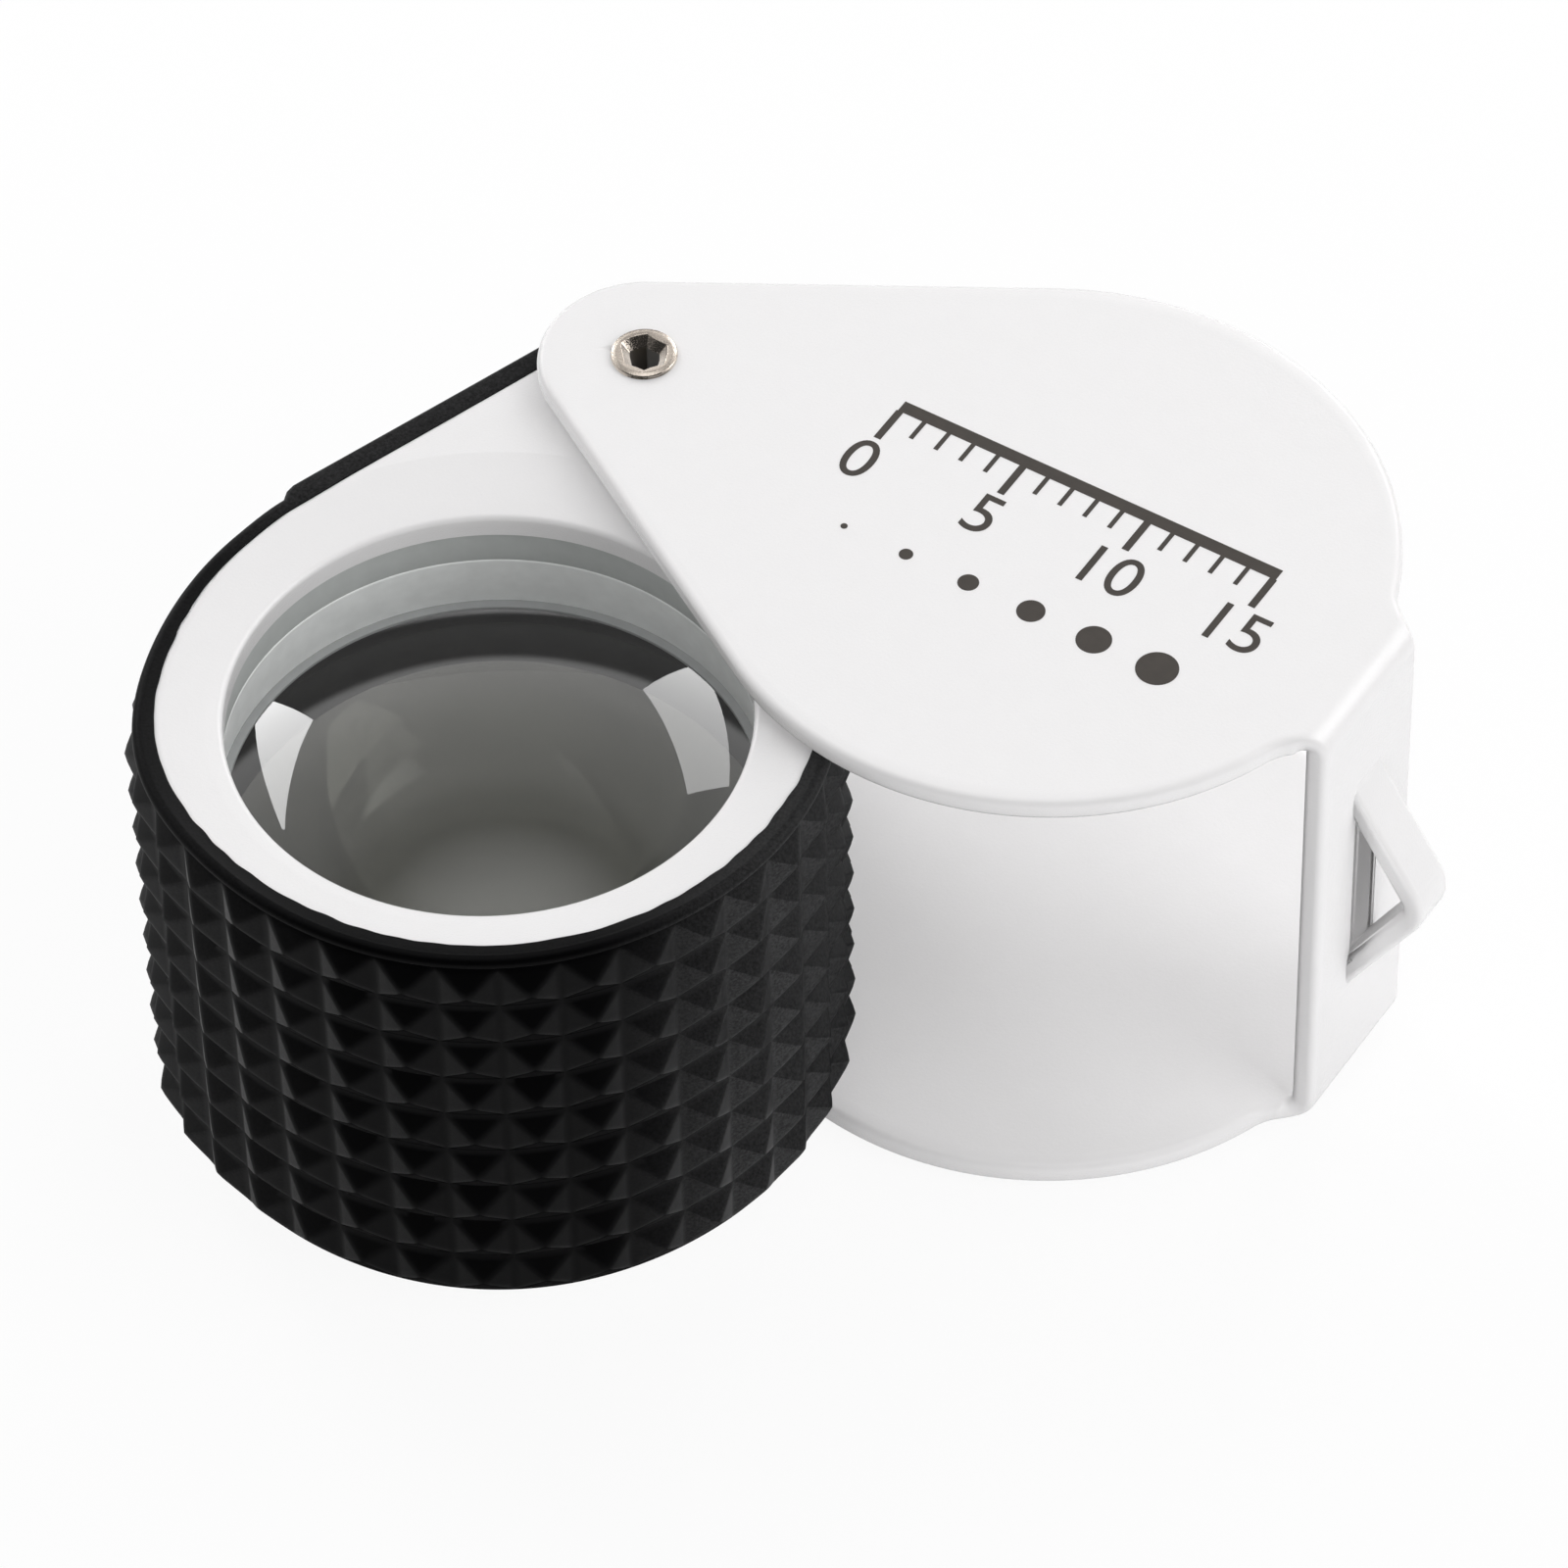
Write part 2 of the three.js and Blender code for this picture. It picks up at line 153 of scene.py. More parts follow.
class HolderSettings(PropertyGroup):
    """Painted body that carries the lens."""

    tip_radius: millimetres("Tip radius", "End at the rivet", 2.7)
    round_radius: millimetres("Round radius", "Lens end", 11.3)
    inset: millimetres("Inset", "Round end's centre nearer the rivet than the lens axis", 0.4)
    opening: millimetres("Opening", "Radius of the opening", 9.0)
    dish_depth: millimetres("Dish depth", "Depth of the dish", 0.3)
    dish_width: millimetres("Dish width", "Width of the dish", 2.8)
    bore: millimetres("Bore", "Radius of the lens bore", 10.25)
    # Painted shade: the holder's whole paint is darkened against the plates' to stand for the shade it lies
    # in beside the cover plates.
    shade: plain_number("Shade", "Brightness of the holder's paint against the plates'", 0.965)
    swell: millimetres("Swell", "How far the round end is out of round", 0.42)
    chamfer: millimetres("Foot chamfer", "Lower outer edge", 0.3)
    lip_round: millimetres("Lip rounding", "Paint rounding at the opening", 0.22)
    pivot_bore: millimetres("Pivot bore", "Bore for the rivet", 0.9)
    recess: millimetres("Recess", "Washer recess radius", 2.05)
    recess_depth: millimetres("Recess depth", "Washer recess depth", 0.3)


class GripSettings(PropertyGroup):
    """Rubber band with its pyramids."""

    wall: millimetres("Wall", "Rubber under the valleys", 0.32)
    tip_wall: millimetres("Tip wall", "Rubber at the tip", 0.82)
    clearance: millimetres("Clearance", "Gap to the holder", 0.03)
    stud: millimetres("Stud", "Height of a pyramid", 0.55)
    margin: millimetres("Margin", "From the holder's end to the first valley", 0.55)
    ramp: millimetres("Ramp", "Slope between the smooth flank and the pyramids", 0.5)
    overlap: millimetres("Overlap", "How far the lip lies on the holder's face", 0.06)
    front_overlap: millimetres("Front overlap", "How much further it lies on it at the end", 0.27)
    columns: IntProperty(name="Columns", description="Pyramids round the grip", default=24)
    rows: IntProperty(name="Rows", description="Pyramids from bottom to top", default=9)
    rubber: linear_colour("Rubber", "Moulded rubber", (0.0004, 0.0004, 0.0006))
    dust: linear_colour("Dust", "Dust in the rubber's grain", (0.05, 0.05, 0.051))
    dusty_side: FloatVectorProperty(
        name="Dusty side", description="Direction in which the dust thickens", default=(0.834, 0.552, 0.0),
        subtype="DIRECTION")


class OpticsSettings(PropertyGroup):
    """Glass and the rings round it."""

    glass_radius: millimetres("Glass", "Radius of the glass", 9.65)
    outer_curve: millimetres("Outer curve", "Radius of the outer surfaces", 20)
    cement_curve: millimetres("Cement curve", "Radius of the cemented surfaces", 14)
    flint_edge: millimetres("Flint edge", "Edge thickness of an outer lens", 2.9)
    cement_gap: millimetres("Cement", "Gap between the glasses", 0.02)
    barrel: millimetres("Barrel", "Outer radius", 10.2)
    seat: millimetres("Seat", "Bore round the glass", 9.75)
    shoulder: millimetres("Shoulder", "Shoulder's bore", 9.2)
    ring: millimetres("Rings", "Outer radius of the rings", 9.7)
    ring_foot: millimetres("Ring foot", "Inner radius beside the glass", 9.5)
    seat_lip: millimetres("Seat lip", "Inner radius of the ring on the glass", 9.2)
    mask: millimetres("Rear mask", "Clear radius inside the black rim of the rear glass", 8.3)
    bezel: millimetres("Bezel", "Bore of the lower bezel", 9.0)
    index: plain_number("Index", "Refractive index of the glass", 1.6)
    metal: linear_colour("Metal", "Turned barrel", (0.5, 0.52, 0.51))
    pale_metal: linear_colour("Pale metal", "Spacer rings", (0.9, 0.92, 0.91))
    dark_metal: linear_colour("Dark metal", "Seat rings", (0.4, 0.41, 0.41))
    black: linear_colour("Black", "Blackened edges", (0.1, 0.094, 0.105))
    # Painted shade: this dark tint darkens what is seen through the lens.
    glass: linear_colour("Glass colour", "Tint of the glass", (0.42, 0.42, 0.395))


class PrintSettings(PropertyGroup):
    """Plain millimetre scale and dot gauge printed on the upper plate."""

    length: IntProperty(name="Length", description="Millimetres on the scale", default=15)
    stroke: millimetres("Stroke", "Width of a fine line", 0.17)
    bar: millimetres("Bar", "Width of the scale's bar", 0.5)
    rule_place: millimetres("Scale's place", "Underside of the bar from the plate's long axis", 2.4)
    digit: millimetres("Digit", "Size of the numerals' type", 2.6)
    ink_height: millimetres("Ink", "Height of the ink film", 0.012)
    dots: IntProperty(name="Dots", description="Dots in the gauge", default=6)
    dot_step: millimetres("Dot step", "By how much each dot is wider than the last", 0.25)
    dot_place: millimetres("Dots' place", "Dots from the plate's long axis", -3.2)
    ink: linear_colour("Ink colour", "Dark brown ink", (0.03, 0.024, 0.019))


class StageSettings(PropertyGroup):
    """Camera, floor and light."""

    turn: angle_degrees("Turn", "Camera's turn about the vertical", 33.496)
    tilt: angle_degrees("Tilt", "Camera's tilt from straight down", 41.420)
    roll: angle_degrees("Roll", "Camera's roll", -1.288)
    distance: millimetres("Distance", "Camera to the point it looks at", 330.13)
    aim: FloatVectorProperty(
        name="Aim", description="Point that the camera looks at",
        default=(-6.562 * MM, -6.814 * MM, 10.05 * MM), subtype="XYZ")
    focal: plain_number("Focal length", "In millimetres", 217.6)
    floor_radius: millimetres("Floor", "Radius of the floor", 500)
    floor_paint: linear_colour("Floor colour", "Pale floor", (0.96, 0.96, 0.965))
    floor_white: plain_number("Floor white", "Share of plain white in the floor that the camera sees", 0.9)
    fill: plain_number("Fill", "Strength of the world's fill", 0.45)
    left_light: plain_number("Left box", "Radiance of the box behind on the left", 4.7)
    right_light: plain_number("Right box", "Radiance of the box behind on the right", 3.1)
    back_light: plain_number("Back box", "Radiance of the high box behind", 1.15)
    key_light: plain_number("Key box", "Radiance of the box at the front right", 2.75)
    front_light: plain_number("Front box", "Radiance of the box in front", 0.95)
    zenith: plain_number("Zenith", "Radiance overhead that only reflections see", 1.6)
    left_glow: plain_number("Left panel", "Radiance of the left box as reflections see it", 7.6)
    right_glow: plain_number("Right panel", "Radiance of the right box as reflections see it", 4.8)
    side_glow: plain_number("Side panel", "Radiance of the side panel that only reflections see", 3.6)
    lamp_distance: millimetres("Lamp distance", "From the object to each lamp", 600)
    tent_radius: millimetres("Tent", "Radius of the light tent that reflections see", 800)


# Grids, profiles and meshes

def grid_faces(rows, columns, wrap_rows=False, wrap_columns=False):
    """Quads of a grid whose points are numbered row by row. A quad faces the way of the cross product of
    the row direction and the column direction."""
    row = np.arange(rows if wrap_rows else rows - 1)
    column = np.arange(columns if wrap_columns else columns - 1)
    row, column = np.meshgrid(row, column, indexing="ij")
    next_row = (row + 1) % rows * columns
    next_column = (column + 1) % columns
    row = row * columns
    quads = [row + column, next_row + column, next_row + next_column, row + next_column]
    return np.stack(quads, -1).reshape(-1, 4)


def fill_mesh(name, points, faces):
    """A mesh from an array of points and one of faces with equally many corners each."""
    mesh = bpy.data.meshes.new(name)
    mesh.vertices.add(len(points))
    mesh.vertices.foreach_set("co", np.asarray(points, np.float32).ravel())
    corners = faces.shape[1]
    mesh.loops.add(faces.size)
    mesh.loops.foreach_set("vertex_index", faces.astype(np.int32).ravel())
    mesh.polygons.add(len(faces))
    mesh.polygons.foreach_set("loop_start", np.arange(0, faces.size, corners, dtype=np.int32))
    mesh.update(calc_edges=True)
    return mesh


def mesh_values(items, name, width, kind=np.float32):
    """One property of a mesh's vertices, edges or faces as
    an array, with a row of width values for each."""
    values = np.empty(len(items) * width, kind)
    items.foreach_get(name, values)
    return values.reshape(-1, width)


def weld_outwards(mesh):
    """Merges a mesh's coinciding points and turns its faces outwards."""
    weld = 0.00005 * MM
    work = bmesh.new()
    work.from_mesh(mesh)
    bmesh.ops.remove_doubles(work, verts=work.verts, dist=weld)
    bmesh.ops.dissolve_degenerate(work, edges=work.edges, dist=weld)
    bmesh.ops.recalc_face_normals(work, faces=work.faces)
    work.to_mesh(mesh)
    work.free()


def show(name, data):
    """A new object with the given data, in the scene."""
    item = bpy.data.objects.new(name, data)
    bpy.context.scene.collection.objects.link(item)
    return item


def finish_piece(
        mesh, finishes, body, replaced, sharp=35.0, weighted=True, crease=None, mirrored=False):
    """Welds a mesh, turns it outwards, shades it smooth up to the sharp angle and makes it a piece on a
    body. crease, where given, says from an array of points which of them lie on an edge that stays crisp.
    Reflections show the piece only where it is mirrored."""
    weld_outwards(mesh)
    mesh.polygons.foreach_set("use_smooth", np.ones(len(mesh.polygons), bool))
    mesh.set_sharp_from_angle(angle=math.radians(sharp))
    if crease is not None:
        ends = mesh_values(mesh.edges, "vertices", 2, np.int32)
        crisp = crease(mesh_values(mesh.vertices, "co", 3))[ends].all(1)
        edges = mesh.attributes["sharp_edge"].data
        edges.foreach_set("value", mesh_values(edges, "value", 1, bool)[:, 0] | crisp)
    piece = show(mesh.name, mesh)
    piece.visible_glossy = mirrored
    for finish in finishes:
        mesh.materials.append(finish)
    if weighted:
        normals = piece.modifiers.new("Weighted normals", "WEIGHTED_NORMAL")
        normals.keep_sharp = True
    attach(piece, body)
    if replaced:
        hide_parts(*replaced)
    return piece


def arc(centre, radius, angles):
    """Points centre + radius * (cos a, sin a) over an array of angles a."""
    return np.asarray(centre) + radius * np.stack([np.cos(angles), np.sin(angles)], -1)


def about_axis(centre, radius, angles, height):
    """Points (x + r cos a, y + r sin a, z) about a centre,
    over arrays of the radius r, angle a and height z."""
    x = centre[0] + radius * np.cos(angles)
    y = centre[1] + radius * np.sin(angles)
    return np.stack(np.broadcast_arrays(x, y, height), -1).reshape(-1, 3)


def smooth_step(share):
    """A soft rise from 0 to 1: share^2 * (3 - 2 * share)."""
    return share * share * (3 - 2 * share)


def fillet_path(corners, radii, steps=6, closed=False):
    """Polyline whose corners are replaced by arcs tangent to both sides; a radius of zero keeps the corner.
    Each arc is centre + radius * (cos a, sin a), with the angle a running over the turn at that corner."""
    corners = np.asarray(corners, float)
    count = len(corners)
    path = []
    for index, (corner, radius) in enumerate(zip(corners, radii)):
        is_end = not closed and index in (0, count - 1)
        if is_end or radius == 0:
            path.append(corner[None])
            continue
        arrive = corner - corners[index - 1]
        leave = corners[(index + 1) % count] - corner
        arrive /= np.linalg.norm(arrive)
        leave /= np.linalg.norm(leave)
        turn = math.atan2(arrive[0] * leave[1] - arrive[1] * leave[0], float(arrive @ leave))
        side = math.copysign(1, turn)
        inward = np.array([-arrive[1], arrive[0]]) * side
        start = corner - arrive * radius * math.tan(abs(turn) / 2)
        centre = start + inward * radius
        first = math.atan2(-inward[1], -inward[0])
        path.append(arc(centre, radius, first + turn * np.linspace(0, 1, steps + 1)))
    return np.concatenate(path)


def turned(name, profile, centre, steps=192, closed=True, dent=None):
    """Surface of revolution: (r cos a, r sin a, z) over the angle a and a profile of (r, z).
    dent, where given, is a share of r for each angle and profile point."""
    angles = np.linspace(0, 2 * math.pi, steps, endpoint=False)[:, None]
    radius = profile[:, 0]
    if dent is not None:
        radius = radius * (1 + dent(angles, np.arange(len(profile))[None]))
    points = about_axis(centre, radius, angles, profile[:, 1])
    return fill_mesh(name, points, grid_faces(steps, len(profile), True, closed))


def tear_outline(tip, round_end, span, round_steps, flank_steps, tip_steps):
    """Closed outline about the rivet at zero, along +X: an arc about (span, 0), a straight tangent,
    an arc about zero and the other tangent. The tangents leave at the angle whose cosine is
    (tip - round) / span."""
    edge = math.acos((tip - round_end) / span)
    round_arc = arc((span, 0), round_end, np.linspace(-edge, edge, round_steps + 1))
    tip_arc = arc((0, 0), tip, np.linspace(edge, 2 * math.pi - edge, tip_steps + 1))
    share = np.linspace(0, 1, flank_steps + 2)[1:-1, None]
    flank = round_arc[-1] + (tip_arc[0] - round_arc[-1]) * share
    return np.concatenate([round_arc, flank, tip_arc, flank[::-1] * (1, -1)])


def out_of_round(outline, span, size):
    """The outline, moved away from the round end's centre over the angle a about it in degrees, by
    size * (exp(-((a + 60) / 22)^2) - 0.2 * exp(-((a - 50) / 22)^2) + 0.24 * s), where s rises softly
    from 0 to 1 over the 12 degrees after 112 on either side. The move fades out on the half that is
    nearer the rivet."""
    bulge, hollow, spread = -60, 50, 22
    hollow_share, flank_share = 0.2, 0.24
    flank_start, flank_ramp = 112, 12
    level = outline - (span, 0)
    angle = np.degrees(np.arctan2(level[:, 1], level[:, 0]))
    flank = smooth_step(np.clip((np.abs(angle) - flank_start) / flank_ramp, 0, 1))
    fall = hollow_share * np.exp(-((angle - hollow) / spread) ** 2)
    rise = np.exp(-((angle - bulge) / spread) ** 2) - fall + flank_share * flank
    fade = np.clip(outline[:, 0] / span * 2, 0, 1)
    radius = np.linalg.norm(level, axis=1)
    return level * (1 + size * rise * fade / radius)[:, None] + (span, 0)


def place_on_holder(points):
    """Points (along, across, height) measured from the rivet, turned into the holder's place."""
    turned_axes = np.array([ALONG, ACROSS, UP])
    return points @ turned_axes + np.array(PIVOT)


# Materials

def fill_inputs(node, inputs):
    """Fills a node's inputs: a socket is linked, a node is
    linked by its first output and a plain value is set."""
    for key, value in inputs.items():
        if isinstance(value, bpy.types.Node):
            value = value.outputs[0]
        if isinstance(value, bpy.types.NodeSocket):
            node.id_data.links.new(value, node.inputs[key])
        else:
            node.inputs[key].default_value = value


def add_node(tree, kind, inputs=None, **settings):
    """A new node of a kind, with its settings and inputs."""
    node = tree.nodes.new(kind)
    for key, value in settings.items():
        setattr(node, key, value)
    fill_inputs(node, inputs or {})
    return node


def new_material(name):
    """A node material with its Principled shader and the function that adds nodes to it."""
    material = bpy.data.materials.new(name)
    material.use_nodes = True
    tree = material.node_tree
    return material, tree.nodes["Principled BSDF"], partial(add_node, tree)


def bare_nodes(owner):
    """Empties the node tree of a material or world, for the function that adds nodes to it."""
    owner.use_nodes = True
    owner.node_tree.nodes.clear()
    return partial(add_node, owner.node_tree)


def object_noise(add, scale, detail=3.0, roughness=0.55):
    """Noise over Object coordinates; scale is in features per metre."""
    place = add("ShaderNodeTexCoord").outputs["Object"]
    inputs = {"Vector": place, "Scale": scale, "Detail": detail, "Roughness": roughness}
    return add("ShaderNodeTexNoise", inputs)


def remap(add, value, low, high, start=0.0, end=1.0, **settings):
    """A value that runs from low to high while another runs
    from start to end, and stays level beyond them."""
    inputs = {"Value": value, "From Min": start, "From Max": end, "To Min": low, "To Max": high}
    return add("ShaderNodeMapRange", inputs, **settings)


def calculate(add, operation, first, second):
    """Result of an operation on two values."""
    return add("ShaderNodeMath", {0: first, 1: second}, operation=operation)


def bump(add, height, strength, depth):
    """A normal for relief of the given depth in metres."""
    return add("ShaderNodeBump", {"Height": height, "Strength": strength, "Distance": depth})


def tint(add, factor, low, high):
    """Colour that runs from low to high with a factor."""
    ramp = add("ShaderNodeValToRGB", {"Fac": factor})
    ramp.color_ramp.elements[0].color = (*low, 1)
    ramp.color_ramp.elements[1].color = (*high, 1)
    return ramp


def mottled(add, factor, colour, darkest, lightest):
    """A colour times a share that runs from darkest to lightest with a factor, at most white."""
    return tint(add, factor, [c * darkest for c in colour], [min(c * lightest, 1) for c in colour])


def painted_finish(name, shade=1.0):
    """Satin off-white paint: a faint mottle, an uneven gloss
    and a thin coat whose fine grain sparkles in a glare. A shade below one darkens it all as painted shade."""
    paint = [c * shade for c in bpy.context.scene.loupe_case.paint]
    material, shader, add = new_material(name)
    mottle = object_noise(add, 900, 4)
    grain = object_noise(add, 9000, 2)
    flake = object_noise(add, 17000, 1)
    fill_inputs(shader, {
        "Base Color": mottled(add, mottle, paint, 0.985, 1.01),
        "Roughness": remap(add, grain, 0.26, 0.42),
        "Normal": bump(add, grain, 0.16, 0.02 * MM),
        "Coat Normal": bump(add, flake, 0.9, 0.03 * MM),
        "Coat Weight": 0.8,
        "Coat Roughness": 0.12,
        "IOR": 1.5,
    })
    return material


def rubber_finish():
    """Matt moulded rubber: black, with a fine open grain and pale dust in it that thickens towards the
    sides. The mesh's own facing attribute tells the faces that look up, which get less dust as painted
    shade that keeps them darker, and down, which are dullest."""
    grip = bpy.context.scene.loupe_grip
    material, shader, add = new_material("moulded_rubber")
    place = add("ShaderNodeTexCoord").outputs["Object"]
    to_right = Vector(grip.dusty_side)
    to_back = UP.cross(to_right)

    def drift(way, start, end, most):
        """Dust that thickens from start to end, in metres from the lens axis in one direction."""
        along = add("ShaderNodeVectorMath", {0: place, 1: way}, operation="DOT_PRODUCT").outputs["Value"]
        axis = way.dot(LENS)
        return remap(add, along, 0.0, most, axis + start, axis + end, interpolation_type="SMOOTHSTEP")

    left = drift(to_right, -4 * MM, -11 * MM, 0.27)
    right = drift(to_right, 3 * MM, 10 * MM, 1.0)
    back = drift(to_back, 5 * MM, 11 * MM, 0.95)
    drifts = calculate(add, "MAXIMUM", calculate(add, "MAXIMUM", left, right), back)
    patch = object_noise(add, 260, 3)
    speck = object_noise(add, 9000, 3, 0.7)
    specks = calculate(add, "MULTIPLY", remap(add, patch, 0.42, 0.62), speck)
    facing = add("ShaderNodeAttribute", attribute_name="facing").outputs["Fac"]
    # Painted shade: faces that look up get as little as half the dust, so they stay darker than the side
    # faces.
    specks_and_painted_shade = remap(add, facing, 1.0, 0.5, 0.1, 0.4)
    specks_and_painted_shade = calculate(add, "MULTIPLY", remap(add, specks, 0.0, 1.0, 0.1, 0.36), specks_and_painted_shade)
    # dust holds the real dust together with the painted shade on faces that look up.
    dust = calculate(add, "MULTIPLY", specks_and_painted_shade, drifts)
    dull = remap(add, facing, 1.0, 0.0, -0.4, -0.1)
    fill_inputs(shader, {
        "Base Color": tint(add, dust, grip.rubber, grip.dust),
        "Roughness": calculate(add, "MAXIMUM", remap(add, speck, 0.36, 0.55), dull),
        "Normal": bump(add, speck, 0.2, 0.015 * MM),
        "Specular IOR Level": 0.075,
    })
    return material


def metal_finish(name, colour, roughness, grooves=0.0, metallic=0.0):
    """Turned metal: fine rings across the height, set by grooves, and a cloudy change of gloss."""
    material, shader, add = new_material(name)
    cloud = object_noise(add, 1500, 4)
    place = add("ShaderNodeTexCoord").outputs["Object"]
    rings = add("ShaderNodeTexWave", {
        "Vector": place, "Scale": 1600.0, "Distortion": 0.4, "Detail": 1.0, "Detail Scale": 400.0},
        bands_direction="Z").outputs["Fac"]
    fill_inputs(shader, {
        "Base Color": mottled(add, cloud, colour, 0.9, 1.08),
        "Roughness": remap(add, cloud, roughness * 0.8, roughness * 1.25),
        "Normal": bump(add, rings, grooves, 0.01 * MM),
        "Metallic": metallic,
    })
    return material


def nickel_finish():
    """Nickel plate dented by the riveting tool, with fine scratches."""
    material, shader, add = new_material("nickel_plate")
    dents = object_noise(add, 1800, 2)
    fine = object_noise(add, 14000, 3)
    fill_inputs(shader, {
        "Base Color": mottled(add, dents, bpy.context.scene.loupe_rivet.nickel, 0.92, 1.08),
        "Roughness": remap(add, fine, 0.16, 0.34),
        "Normal": bump(add, calculate(add, "ADD", dents, fine), 0.25, 0.04 * MM),
        "Metallic": 1.0,
    })
    return material


def matt_finish(name, colour, scale=1200, lightest=1.4, roughness=0.5):
    """Matt dark lacquer, a tarnished bore darkened as painted shade, or ink, with a slight cloud."""
    material, shader, add = new_material(name)
    cloud = object_noise(add, scale, 3)
    fill_inputs(shader, {"Base Color": mottled(add, cloud, colour, 0.8, lightest), "Roughness": roughness})
    return material


def glass_finish():
    """Polished glass with a faint polish haze in its roughness; its dark tint is painted shade over what is
    seen through the lens.
    """
    optics = bpy.context.scene.loupe_optics
    material, shader, add = new_material("glass_tinted_with_painted_shade")
    fill_inputs(shader, {
        # Painted shade: the dark base colour darkens the view through the lens.
        "Base Color": (*optics.glass, 1),
        "Roughness": remap(add, object_noise(add, 300, 2), 0.0, 0.004),
        "Transmission Weight": 1.0,
        "IOR": optics.index,
    })
    return material


def cement_finish():
    """Cemented surface between two glasses: light passes straight on, as their indices nearly match."""
    material = bpy.data.materials.new("cemented_glass")
    add = bare_nodes(material)
    clear = add("ShaderNodeBsdfTransparent", {"Color": (0.985, 0.985, 0.975, 1)})
    haze = add("ShaderNodeBsdfGlossy", {"Roughness": 0.05})
    share = remap(add, object_noise(add, 400, 2, 0.5), 0.008, 0.016)
    both = add("ShaderNodeMixShader", {0: share, 1: clear, 2: haze})
    add("ShaderNodeOutputMaterial", {"Surface": both})
    return material


# Case

def neck_half(case, place, inset):
    """Half width of the flat pattern at a place along it: beside the neck's fillet, wall / 2 + fillet less
    sqrt((fillet + inset)^2 - (place - centre)^2), and past its centre the wall's half width."""
    rise = case.wall_width / 2 + case.neck_fillet
    centre = math.sqrt((case.round_radius + case.neck_fillet) ** 2 - rise ** 2)
    curve = np.sqrt(np.clip((case.neck_fillet + inset) ** 2 - (place - centre) ** 2, 0, None))
    return np.where(place < centre, rise - curve, case.wall_width / 2 - inset)


def plate_half(case, inset, bend_x):
    """Half outline of a cover plate from its tip to the bend, drawn in by inset, as (x, half width): an arc
    about the rivet, a straight flank, an arc about the origin and the fillet that leads into the neck."""
    flank = math.acos((case.tip_radius - case.round_radius) / -PIVOT.x)
    corner = math.asin((case.wall_width / 2 + case.neck_fillet) / (case.round_radius + case.neck_fillet))
    tip_arc = arc((PIVOT.x, 0), case.tip_radius - inset, np.linspace(math.pi, flank, 25))
    round_arc = arc((0, 0), case.round_radius - inset, np.linspace(flank, corner, 73))
    neck_x = np.linspace(round_arc[-1, 0], bend_x, 7)[1:-1]
    neck = np.stack([neck_x, neck_half(case, neck_x, inset)], 1)
    return np.concatenate([tip_arc, round_arc, neck])


def loop_lean(case):
    """Mean angle between the loop's legs and the wall, at
    which the apex arc just reaches as far as the loop does."""
    drop = (case.upper_leg + case.lower_leg) / 2
    depth = case.loop_reach - case.loop_apex
    return math.atan2(depth, drop) + math.asin(case.loop_apex / math.hypot(drop, depth))


def loop_place(case):
    """The outer face of the wall, the height of the loop's
    apex, and the upper and lower end of its window."""
    apex_z = (CASE_LOW.z + CASE_HIGH.z) / 2 + case.loop_raise
    return CASE_HIGH.x - case.loop_reach, apex_z, apex_z + case.upper_leg, apex_z - case.lower_leg


def loop_points(case):
    """The cord loop as a closed strip: at each step of its outer and inner path, a rounded rectangle
    between the two, of the loop's width. Both paths start and end inside the wall."""
    wall_x, apex_z, window_top, window_bottom = loop_place(case)
    lean = loop_lean(case)
    corner_x = wall_x + case.loop_reach + case.loop_apex * (1 / math.cos(lean) - 1)
    buried = 0.03 * MM
    tail = 0.7 * MM
    outer_line, inner_line = wall_x - buried, wall_x - case.sheet + buried
    paths = []
    for line, inward, apex in ((outer_line, 0, case.loop_apex), (inner_line, case.sheet, case.loop_inside)):
        slip = inward * math.tan(lean / 2)
        root = case.loop_root + inward
        corners = [
            (line, window_top + tail),
            (line, window_top - slip),
            (corner_x - inward / math.cos(lean), apex_z),
            (line, window_bottom + slip),
            (line, window_bottom - tail),
        ]
        paths.append(fillet_path(corners, [0, root, apex, root, 0], steps=12))
    outside, inside = paths

    half, radius = case.loop_width / 2, case.loop_round
    side = arc((half - radius, radius), radius, np.radians(np.linspace(-90, 0, 5)))
    right = np.concatenate([side, side[::-1] * (1, -1) + (0, case.sheet)])
    section = np.concatenate([right, right[::-1] * (-1, 1)])
    share = (section[:, 1] / case.sheet)[None, :, None]
    place = outside[:, None] * (1 - share) + inside[:, None] * share
    width = np.broadcast_to(section[:, 0], place.shape[:2])
    return np.stack([place[..., 0], width, place[..., 1]], -1)


